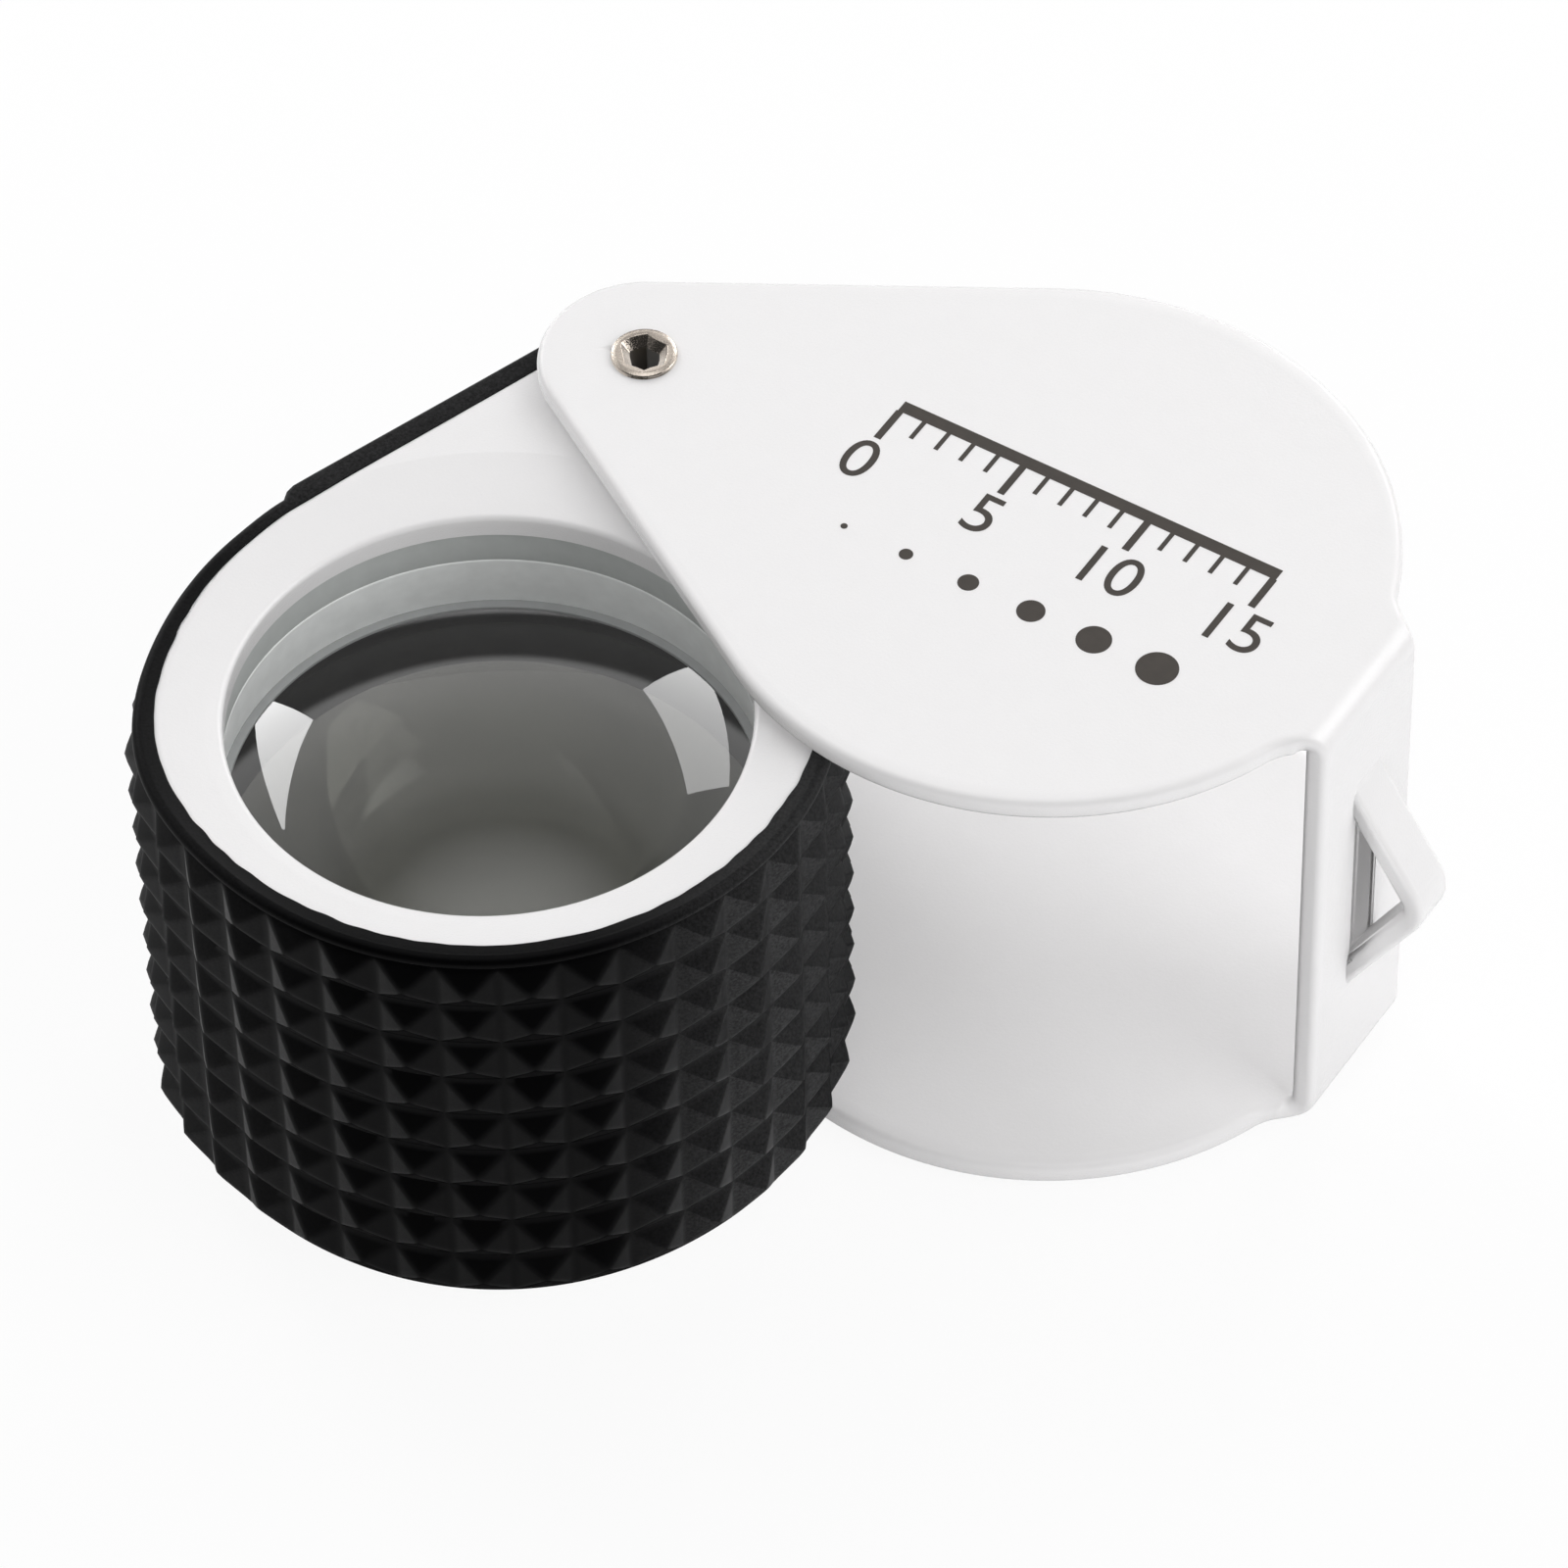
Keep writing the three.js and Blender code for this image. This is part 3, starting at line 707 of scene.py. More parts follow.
def case_mesh(case):
    """The folded strip. Each row is one closed section across the strip: y = share * half width over the
    faces, and on the rims the inner outline plus sin(a) of the step to the outer one, at a depth of round *
    (1 - cos(a))."""
    wall_x, _, window_top, window_bottom = loop_place(case)
    bend = case.bend_radius
    bend_x = wall_x - bend
    top, bottom = CASE_HIGH.z, CASE_LOW.z
    bed, rim = plate_half(case, case.edge_round, bend_x), plate_half(case, 0, bend_x)

    # Rows over the fold: the upper bend, the wall and the lower bend
    past_bend = bend + 0.5 * MM
    wall_z = np.array([
        top - past_bend, (top - bend + window_top) / 2, window_top,
        window_bottom, (bottom + bend + window_bottom) / 2, bottom + past_bend])
    turn = np.linspace(0, math.pi / 2, 17)
    bend_arc = np.stack([np.sin(turn), np.cos(turn)], 1)
    fold_top = np.array([bend_x, top - bend]) + bend * bend_arc
    fold_wall = np.stack([np.full(len(wall_z), wall_x), wall_z], 1)
    fold_bottom = np.array([bend_x, bottom + bend]) + bend * bend_arc[::-1] * (1, -1)
    fold = np.concatenate([fold_top, fold_wall, fold_bottom])
    wall_normal = np.tile([1.0, 0.0], (len(wall_z), 1))
    fold_normal = np.concatenate([bend_arc, wall_normal, bend_arc[::-1] * (1, -1)])
    unrolled = bend_x + bend * turn
    fold_along = np.concatenate([unrolled, np.full(len(wall_z), wall_x + bend), unrolled[::-1]])

    def rows(half_outline, inset):
        """Places (x, z) and half widths of every row for one outline."""
        plate_x, plate_y = half_outline.T
        upper = np.stack([plate_x, np.full(len(plate_x), top)], 1)
        lower = np.stack([plate_x, np.full(len(plate_x), bottom)], 1)[::-1]
        width = np.concatenate([plate_y, neck_half(case, fold_along, inset), plate_y[::-1]])
        return np.concatenate([upper, fold, lower]), width

    bed_place, bed_half = rows(bed, case.edge_round)
    rim_place, rim_half = rows(rim, 0)
    plate_normal = np.tile([0.0, 1.0], (len(bed), 1))
    normal = np.concatenate([plate_normal, fold_normal, -plate_normal])

    # One section: outer face, rim, inner face, rim
    slit = case.window_width / 2 / (case.wall_width / 2 - case.edge_round)
    face_shares = np.array([-1, -0.96, -0.72, -slit, slit, 0.72, 0.96, 1])
    rounding = np.linspace(0, math.pi / 2, 5)[1:]
    out, depth = np.sin(rounding), case.edge_round * (1 - np.cos(rounding))
    level = np.zeros(len(face_shares))
    rim_share = np.ones(2 * len(rounding))
    share = np.concatenate([face_shares, rim_share, face_shares[::-1], -rim_share])
    reach = np.concatenate([level, out, out[::-1], level, out, out[::-1]])
    side = np.sign(share) * (reach > 0)
    deep = np.concatenate([
        level, -depth, (depth - case.sheet)[::-1],
        level - case.sheet, depth - case.sheet, -depth[::-1],
    ])
    place = bed_place[:, None] + reach[None, :, None] * (rim_place - bed_place)[:, None]
    place = place + deep[None, :, None] * normal[:, None]
    y = share * bed_half[:, None] + side * reach * (rim_half - bed_half)[:, None]
    points = np.stack([place[..., 0], y, place[..., 1]], -1)
    count, across = y.shape
    faces = grid_faces(count, across, False, True)

    # The window: the two faces between the slits give way to its four walls
    first = len(bed) + len(fold_top) + list(wall_z).index(window_top)
    slits = np.flatnonzero(np.abs(share) == slit)
    in_window = (faces[:, 0] // across == first) & np.isin(faces[:, 0] % across, slits[::2])
    above, below = np.arange(count * across).reshape(count, across)[first:first + 2, slits]
    walls = np.stack([
        [above[0], below[0], below[3], above[3]],
        [above[1], below[1], below[2], above[2]],
        above,
        below,
    ])

    # The cord loop, with a fan of quads closing each end of its strip
    loop = loop_points(case)
    steps, ring = loop.shape[:2]
    strip = grid_faces(steps, ring, False, True) + count * across
    pair = np.arange(ring // 2 - 1)
    end = np.stack([pair, pair + 1, ring - 2 - pair, ring - 1 - pair], 1) + count * across
    all_points = np.concatenate([points.reshape(-1, 3), loop.reshape(-1, 3)])
    all_faces = np.concatenate([faces[~in_window], walls, strip, end, end + (steps - 1) * ring])
    return fill_mesh("cover_sheet", all_points, all_faces)


def round_window(piece, case):
    """Rounds the edges of the window that the cord loop leaves."""
    x, y, z = mesh_values(piece.data.vertices, "co", 3).T
    wall_x, _, window_top, window_bottom = loop_place(case)
    near = 0.002 * MM
    on_wall = (np.abs(x - wall_x) < near) | (np.abs(x - wall_x + case.sheet) < near)
    on_side = np.abs(np.abs(y) - case.window_width / 2) < near
    on_end = (np.abs(z - window_top) < near) | (np.abs(z - window_bottom) < near)
    group = piece.vertex_groups.new(name="window")
    group.add(np.flatnonzero(on_wall & on_side & on_end).tolist(), 1, "REPLACE")
    soften = piece.modifiers.new("Window edges", "BEVEL")
    soften.limit_method = "VGROUP"
    soften.vertex_group = group.name
    soften.width = case.window_round
    soften.segments = 3
    apply_first(piece, soften)


# Rivet

def rivet_profile(rivet):
    """Section of the hollow rivet as (radius, height): flat
    flange below, rolled flange and funnel above."""
    top, bottom = CASE_HIGH.z, CASE_LOW.z
    rise = rivet.flange_height
    rolled = (rivet.flange + rivet.opening) / 2
    rim_share, mouth_share = 0.72, 0.92
    corners = [
        (rivet.bore, bottom - rise),
        (rivet.flange, bottom - rise),
        (rivet.flange, bottom),
        (rivet.shank, bottom),
        (rivet.shank, top),
        (rivet.flange, top),
        (rivet.flange, top + rise * rim_share),
        (rolled, top + rise),
        (rivet.opening, top + rise * mouth_share),
        (rivet.bore, top + rise - rivet.funnel),
    ]
    fine = 0.06 * MM
    radii = [fine, fine, 0, 0, 0, 0, fine, fine * 3, fine, fine]
    return fillet_path(corners, radii, steps=5, closed=True)


def hexagon_dent(profile, rivet):
    """Share by which the funnel's radius follows a worn hexagon: 0.9 * (1 / cos(b mod 60 degrees - 30
    degrees) - 1.05), where b is the angle with a slight wander in it, plus a slight oval. It grows from
    nothing on the flange to its full depth in the bore."""
    outside = (rivet.flange + rivet.opening) / 2
    upper = profile[:, 1] > (CASE_LOW.z + CASE_HIGH.z) / 2
    weight = np.clip((outside - profile[:, 0]) / (outside - rivet.opening), 0, 1) * upper
    mean_facet, wear = 1.05, 0.9

    def dent(angles, columns):
        """The share at each angle and profile point."""
        uneven = angles + 0.16 * np.sin(angles + 0.7) + 0.07 * np.sin(2 * angles + 2.1)
        facet = 1 / np.cos(np.mod(uneven, math.pi / 3) - math.pi / 6) - mean_facet
        oval = 0.05 * np.cos(2 * angles + 0.5) + 0.03 * np.sin(3 * angles)
        return weight[columns] * (facet * wear + oval)

    return dent


# Holder

def polar_radius(outline, centre_along, angles):
    """Distance from the lens axis to an outline at each angle, read off the outline's own polar form."""
    x, y = outline[:, 0] - centre_along, outline[:, 1]
    order = np.argsort(np.arctan2(y, x))
    return np.interp(angles, np.arctan2(y, x)[order], np.hypot(x, y)[order], period=2 * math.pi)


def dish_height(holder, radius):
    """Height of the holder's upper face: a shallow cone round the opening, then flat."""
    share = np.clip((radius - holder.opening) / holder.dish_width, 0, 1)
    return HOLDER_HIGH.z - holder.dish_depth * (1 - share)


def holder_mesh(holder):
    """The body as one section carried round the lens axis. Its outer end follows the tear outline's
    distance from that axis, its upper face is the dish and its inner end is the stepped bore."""
    steps = 720
    angles = np.linspace(-math.pi, math.pi, steps, endpoint=False)
    span = PIVOT_TO_LENS - holder.inset
    edge = 0.2 * MM

    def reach(inset):
        """Distance from the lens axis to the tear outline, drawn in by inset."""
        plain = tear_outline(holder.tip_radius - inset, holder.round_radius - inset, span, 400, 200, 60)
        return polar_radius(out_of_round(plain, span, holder.swell), PIVOT_TO_LENS, angles)

    outer, top_edge, foot = reach(0), reach(edge), reach(holder.chamfer)
    lip = holder.opening
    lip_top = dish_height(holder, lip)
    columns = []

    def put(radius, height):
        """The next line round the section, at a radius and height for each angle."""
        columns.append(np.stack([np.broadcast_to(radius, steps), np.broadcast_to(height, steps)], 1))

    put(lip, BARREL_HIGH.z)
    put(lip, (BARREL_HIGH.z + lip_top) / 2)
    for turn in np.linspace(0, math.pi / 2, 7):
        radius = lip + holder.lip_round * (1 - math.cos(turn))
        put(radius, lip_top - holder.lip_round * (1 - math.sin(turn)))
    dish_start = lip + holder.lip_round * 1.2
    dish_edge = np.minimum(lip + holder.dish_width, top_edge)
    for share in np.linspace(0, 1, 9)[1:]:
        radius = dish_start + (dish_edge - dish_start) * share
        put(radius, dish_height(holder, radius))
    for share in (0.3, 0.6, 1.0):
        radius = dish_edge + (top_edge - dish_edge) * share
        put(radius, dish_height(holder, radius))
    for turn in np.linspace(0, math.pi / 2, 4)[1:]:
        radius = top_edge + (outer - top_edge) * math.sin(turn)
        put(radius, dish_height(holder, top_edge) - edge * (1 - math.cos(turn)))
    put(outer, HOLDER_LOW.z + holder.chamfer)
    put(foot, HOLDER_LOW.z)
    put(holder.bore, HOLDER_LOW.z)
    put(holder.bore, BARREL_HIGH.z)
    radius, height = np.stack(columns, 1).transpose(2, 0, 1)
    points = about_axis((PIVOT_TO_LENS, 0), radius, angles[:, None], height)
    return fill_mesh("holder_body", place_on_holder(points), grid_faces(steps, len(columns), True, True))


def apply_first(piece, modifier):
    """Applies a piece's newest modifier ahead of the others."""
    piece.modifiers.move(len(piece.modifiers) - 1, 0)
    with bpy.context.temp_override(object=piece, active_object=piece):
        bpy.ops.object.modifier_apply(modifier=modifier.name)


def cut_pivot(piece, profile):
    """Takes a turned solid about the rivet's axis, given as (radius, height), out of a piece."""
    mesh = turned("pivot_cutter", np.array(profile), PIVOT, steps=64, closed=False)
    weld_outwards(mesh)
    cutter = show("pivot_cutter", mesh)
    cut = piece.modifiers.new("Pivot bore", "BOOLEAN")
    cut.operation = "DIFFERENCE"
    cut.object = cutter
    cut.solver = "EXACT"
    cut.use_self = True
    apply_first(piece, cut)
    bpy.data.objects.remove(cutter)
    bpy.data.meshes.remove(mesh)


# Grip

def wave(rng, stations, fewest, most, size):
    """Smooth wander round a band of stations: size / sqrt(n) * the sum of sin(k t + phase) over the n whole
    numbers of turns k from the fewest up to the most, each with a random phase."""
    turns = np.arange(fewest, most)
    phase = rng.uniform(0, 2 * math.pi, len(turns))
    around = np.arange(stations)[:, None] / stations * 2 * math.pi
    return size * np.sum(np.sin(turns * around + phase), 1) / math.sqrt(len(turns))


def pyramid_field(rng, stations, lines, fine, grip):
    """Shares of the full height over the field of cells, with fine steps to a cell: 1 - (|u|^14 +
    |v|^14)^(1/14) over the place (u, v) in each cell, from -1 to 1. Each pyramid is a little lower than
    full at random, and its point is blunt."""
    power = 14
    uneven, lowest = 0.05, 0.88
    blunt, blunt_slope = 0.9, 0.45
    across = np.arange(stations) / fine
    up = np.arange(lines) / fine
    cell_column = np.clip(across.astype(int), 0, grip.columns - 1)
    cell_row = np.clip(up.astype(int), 0, grip.rows - 1)
    u = np.abs(2 * (across - cell_column) - 1)[:, None]
    v = np.abs(2 * (up - cell_row) - 1)[None]
    height = np.clip(1 - (u ** power + v ** power) ** (1 / power), 0, None)
    tallness = np.clip(1 + uneven * rng.standard_normal((grip.columns, grip.rows)), lowest, 1)
    height = height * tallness[cell_column][:, cell_row]
    return np.where(height > blunt, blunt + (height - blunt) * blunt_slope, height)


def grip_mesh(grip, holder):
    """The rubber band as a closed section carried round the tear outline:
    its foot, the rows of pyramids, which stand stud * share over the valley
    level on the round end, and the lip that lies on the holder's face."""
    fine = 10
    rng = np.random.default_rng(7)
    span = PIVOT_TO_LENS - holder.inset
    inner_round = holder.round_radius + grip.clearance
    inner_tip = holder.tip_radius + grip.clearance
    round_steps = grip.columns * fine

    def outline(tip, round_end):
        """Tear outline with a point at each fine step."""
        plain = tear_outline(tip, round_end, span, round_steps, 40, 24)
        return out_of_round(plain, span, holder.swell)

    inner = outline(inner_tip, inner_round)
    outer = outline(inner_tip + grip.tip_wall, inner_round + grip.wall + grip.stud)
    stations = len(outer)
    step = np.roll(outer, -1, 0) - np.roll(outer, 1, 0)
    normal = np.stack([step[:, 1], -step[:, 0]], 1)
    normal /= np.linalg.norm(normal, axis=1, keepdims=True)
    on_round = np.arange(stations) <= round_steps

    # Depth of the valley level below the smooth flank, which fades in over the ramp
    ends = outer[[0, round_steps]]
    away = np.min(np.linalg.norm(outer[:, None] - ends[None], axis=2), axis=1)
    sunk = grip.stud * (1 - smooth_step(np.where(on_round, 0, np.clip(away / grip.ramp, 0, 1))))

    first = HOLDER_LOW.z + grip.margin
    last = HOLDER_HIGH.z - grip.margin
    lines = grip.rows * fine + 1
    stud = np.where(on_round[:, None], grip.stud * pyramid_field(rng, stations, lines, fine, grip), 0)
    ragged = 0.02 * MM
    flash = wave(rng, stations, 9, 70, ragged) + wave(rng, stations, 3, 9, ragged)
    columns = []

    def put(base, out, height):
        """The next line round the section: base + out * normal, at a height."""
        place = base + normal * np.broadcast_to(out, stations)[:, None]
        columns.append(np.concatenate([place, np.broadcast_to(height, stations)[:, None]], 1))

    # Foot, bevelled at both edges
    inner_bevel, outer_bevel = 0.12 * MM, 0.06 * MM
    foot, bevel_top = first - 0.09 * MM, first - 0.05 * MM
    put(inner, 0, bevel_top)
    put(inner, inner_bevel, foot)
    put(outer, -sunk - outer_bevel, foot)
    foot_columns = len(columns)

    # Rows of pyramids
    for line in range(lines):
        put(outer, stud[:, line] - sunk, first + (last - first) * line / (lines - 1))

    # Step out from the last valley to the lip, and the lip's rounding
    lip_round, lip_out, lip_rise = 0.3 * MM, 0.2 * MM, 0.05 * MM
    step_back, lip_back = 0.02 * MM, 0.01 * MM
    lip_top = HOLDER_HIGH.z + lip_rise
    lip_sunk = sunk * (1 - lip_out / grip.stud)
    for out_share, up_share in ((0.0, 0.04), (0.6, 0.3), (1.0, 0.55)):
        out = (sunk - lip_sunk) * out_share - sunk - step_back
        put(outer, out, last + (HOLDER_HIGH.z - last) * up_share)
    for turn in np.linspace(0, math.pi / 2, 9):
        out = -lip_sunk - lip_round * (1 - math.cos(turn)) - lip_back
        put(outer, out, lip_top - lip_round * (1 - math.sin(turn)))

    # Inner slope of the lip, down to its edge on the holder's face, which reaches further in at the end
    crest_in, slope_in, edge_width = 0.17 * MM, 0.1 * MM, 0.05 * MM
    slope_rise, edge_high, edge_low, hair = 0.035 * MM, 0.045 * MM, 0.02 * MM, 0.002 * MM
    metal_top = dish_height(holder, np.hypot(inner[:, 0] - PIVOT_TO_LENS, inner[:, 1]))
    overlap_turn = math.radians(10)
    around = np.arctan2(inner[:, 1], inner[:, 0] - span) - overlap_turn
    overlap = flash - grip.overlap - grip.front_overlap * np.clip(np.cos(around) + 0.5, 0, 1)
    put(inner, crest_in, lip_top + hair)
    put(inner, slope_in, (HOLDER_HIGH.z + metal_top) / 2 + slope_rise)
    put(inner, overlap + edge_width, metal_top + edge_high)
    put(inner, overlap, metal_top + edge_low)
    put(inner, overlap, metal_top + hair)
    put(inner, 0, metal_top + hair)
    points = np.stack(columns, 1).reshape(-1, 3)
    quads = grid_faces(stations, len(columns), True, True)

    # Each quad is split along the ridge that it lies on, so the pyramids' edges run clean
    row, column = quads[:, 0] // len(columns), quads[:, 0] % len(columns) - foot_columns
    rising = (row % fine < fine / 2) == (column % fine < fine / 2)
    one = np.where(rising[:, None], quads[:, [0, 1, 2]], quads[:, [0, 1, 3]])
    two = np.where(rising[:, None], quads[:, [0, 2, 3]], quads[:, [1, 2, 3]])
    mesh = fill_mesh("grip_band", place_on_holder(points), np.concatenate([one, two]))
    facing = mesh.attributes.new("facing", "FLOAT", "FACE")
    facing.data.foreach_set("value", mesh_values(mesh.polygons, "normal", 3)[:, 2].copy())
    return mesh


# Optics

def sag(curve, radius):
    """Depth of a sphere's cap at a radius: curve - sqrt(curve^2 - radius^2)."""
    return curve - np.sqrt(curve ** 2 - radius ** 2)


def cap(curve, glass_radius, rim, rise, steps):
    """Spherical face from the rim to the axis as (radius, height); a positive rise bulges upwards."""
    radius = glass_radius * np.cos(np.linspace(0, math.pi / 2, steps + 1))
    radius[-1] = 0
    return np.stack([radius, rim + rise * (sag(curve, glass_radius) - sag(curve, radius))], 1)


def lens_piece(name, node, finishes, low, low_finish, high, high_finish, mask=None):
    """One glass, turned from its lower face, ground edge and upper face. Faces are told apart by their
    place in the profile: the lower cap, the blackened edge and the upper cap. Outside the mask's radius,
    where one is given, the lower face is blackened too."""
    steps = 160
    black = 1
    profile = np.concatenate([low[::-1], high])
    mesh = turned(name, profile, LENS, steps=steps, closed=False)
    kinds = np.full(len(profile) - 1, high_finish)
    kinds[:len(low)] = low_finish
    kinds[len(low) - 1] = black
    if mask is not None:
        kinds[:len(low)][profile[1:len(low) + 1, 0] > mask] = black
    mesh.polygons.foreach_set("material_index", np.tile(kinds, steps).astype(np.int32))
    finish_piece(mesh, finishes, "holder", [node], sharp=30, weighted=False, mirrored=True)


def ring_section(node, low_bore, outside, high_bore):
    """Corners (radius, height) of a ring, with the lower and upper end of its frame node."""
    low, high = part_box(node)
    return [(low_bore, low.z), (outside, low.z), (outside, high.z), (high_bore, high.z)]


# Print

def box_mark(x, y, width, length):
    """Corners of a printed bar, centred on x and running from y upwards by length."""
    left, right = x - width / 2, x + width / 2
    return np.array([(left, y), (right, y), (right, y + length), (left, y + length)])


def disc_mark(x, y, radius, steps=40):
    """Corners of a printed dot."""
    return arc((x, y), radius, np.linspace(0, 2 * math.pi, steps, endpoint=False))


def prism(outline, low, high):
    """A closed prism over an outline of (x, y)."""
    count = len(outline)
    points = np.concatenate([np.insert(outline, 2, height, axis=1) for height in (low, high)])
    ring = np.arange(count)
    after = np.roll(ring, -1)
    sides = np.stack([ring, after, after + count, ring + count], 1)
    mesh = bpy.data.meshes.new("prism")
    mesh.from_pydata(points.tolist(), [], [ring[::-1].tolist(), (ring + count).tolist(), *sides.tolist()])
    return mesh


def numeral(number, x, y, size, low, high):
    """A plain numeral in the built-in type, centred on x, as a closed solid."""
    curve = bpy.data.curves.new("number", "FONT")
    curve.body = str(number)
    curve.size = size
    curve.align_x = "CENTER"
    curve.extrude = (high - low) / 2
    curve.resolution_u = 8
    letters = show("number", curve)
    bpy.context.view_layer.update()
    mesh = bpy.data.meshes.new_from_object(letters.evaluated_get(bpy.context.evaluated_depsgraph_get()))
    mesh.transform(Matrix.Translation((x, y, (low + high) / 2)))
    bpy.data.objects.remove(letters)
    bpy.data.curves.remove(curve)
    return mesh


def print_mesh(marks):
    """A millimetre scale with its numbers over a row of dots
    of growing diameter, as closed films of ink."""
    low = CASE_HIGH.z - marks.ink_height / 2
    high = CASE_HIGH.z + marks.ink_height
    span = marks.length * MM
    start = -span / 2
    numbered = 5
    short_tick, long_tick, long_stroke = 0.9 * MM, 1.5 * MM, marks.stroke * 1.6
    line = marks.rule_place
    number_line = line - 3.5 * MM
    parts = [prism(box_mark(0, line, span + marks.stroke, marks.bar), low, high)]
    for tick in range(marks.length + 1):
        is_long = tick % numbered == 0
        length, width = (long_tick, long_stroke) if is_long else (short_tick, marks.stroke)
        parts.append(prism(box_mark(start + tick * MM, line - length, width, length), low, high))
    for number in range(0, marks.length + 1, numbered):
        parts.append(numeral(number, start + number * MM, number_line, marks.digit, low, high))
    for dot in range(marks.dots):
        place = start + (dot + 0.5) * span / marks.dots
        parts.append(prism(disc_mark(place, marks.dot_place, (dot + 1) * marks.dot_step / 2), low, high))
    work = bmesh.new()
    for part in parts:
        work.from_mesh(part)
        bpy.data.meshes.remove(part)
    mesh = bpy.data.meshes.new("scale_print")
    work.to_mesh(mesh)
    work.free()
    return mesh


# Operators, one for each piece or group of like pieces

class LOUPE_OT_case(Operator):
    """Make the folded cover sheet with its cord loop"""

    bl_idname = "loupe.case"
    bl_label = "Cover sheet"

    def execute(self, context):
        case = context.scene.loupe_case
        paint = painted_finish("satin_paint")
        piece = finish_piece(case_mesh(case), [paint], "case", ["case_shell"], sharp=50)
        round_window(piece, case)
        over = 1 * MM
        low, high = CASE_LOW.z - over, CASE_HIGH.z + over
        cut_pivot(piece, [(0, low), (case.rivet_bore, low), (case.rivet_bore, high), (0, high)])
        return {"FINISHED"}


class LOUPE_OT_rivet(Operator):
    """Make the hollow rivet"""

    bl_idname = "loupe.rivet"
    bl_label = "Rivet"

    def execute(self, context):
        rivet = context.scene.loupe_rivet
        steps = 144
        profile = rivet_profile(rivet)
        mesh = turned("pivot_rivet", profile, PIVOT, steps=steps, dent=hexagon_dent(profile, rivet))
        funnel_foot = CASE_HIGH.z + rivet.flange_height - rivet.funnel
        along = (profile + np.roll(profile, -1, 0)) / 2
        in_bore = (along[:, 0] < rivet.bore * 1.01) & (along[:, 1] < funnel_foot)
        mesh.polygons.foreach_set("material_index", np.tile(in_bore, steps).astype(np.int32))
        # The bore's finish is near-black: painted shade of the narrow hole over tarnished metal.
        finishes = [nickel_finish(), matt_finish("bore_tarnish_and_painted_shade", rivet.tarnish)]
        finish_piece(mesh, finishes, "case", ["pivot_eyelet"], sharp=45)
        return {"FINISHED"}


class LOUPE_OT_washers(Operator):
    """Give both friction washers their bronze"""

    bl_idname = "loupe.washers"
    bl_label = "Friction washers"

    def execute(self, context):
        finish = metal_finish("rolled_bronze", context.scene.loupe_rivet.bronze, 0.35, 0.1, metallic=1.0)
        for name in ("upper_friction_washer", "lower_friction_washer"):
            washer = frame["nodes"][name]
            washer.data.materials.clear()
            washer.data.materials.append(finish)
            washer.visible_glossy = False
        return {"FINISHED"}


class LOUPE_OT_holder(Operator):
    """Make the painted lens holder"""

    bl_idname = "loupe.holder"
    bl_label = "Lens holder"

    def execute(self, context):
        holder = context.scene.loupe_holder
        # The holder's paint is a darker copy of the plates' paint: painted shade.
        paint = painted_finish("holder_paint_shaded", holder.shade)
        low, high = HOLDER_LOW.z, HOLDER_HIGH.z

        def on_crease(points):
            """Which points lie where the dish meets the level face."""
            near = 0.001 * MM
            radius = np.hypot(points[:, 0] - LENS.x, points[:, 1] - LENS.y)
            on_edge = np.abs(radius - holder.opening - holder.dish_width) < near
            return on_edge & (np.abs(points[:, 2] - high) < near)

        piece = finish_piece(
            holder_mesh(holder), [paint], "holder", ["lens_holder"], sharp=40,
            crease=on_crease)
        over = 1 * MM
        lower_recess, upper_recess = low + holder.recess_depth, high - holder.recess_depth
        cut_pivot(piece, [
            (0, low - over), (holder.recess, low - over), (holder.recess, lower_recess),
            (holder.pivot_bore, lower_recess), (holder.pivot_bore, upper_recess),
            (holder.recess, upper_recess), (holder.recess, high + over), (0, high + over)])
        return {"FINISHED"}


class LOUPE_OT_grip(Operator):
    """Make the rubber grip with its pyramids"""

    bl_idname = "loupe.grip"
    bl_label = "Rubber grip"

    def execute(self, context):
        mesh = grip_mesh(context.scene.loupe_grip, context.scene.loupe_holder)
        finish_piece(
            mesh, [rubber_finish()], "holder", ["rubber_grip"], sharp=60, weighted=False)
        return {"FINISHED"}


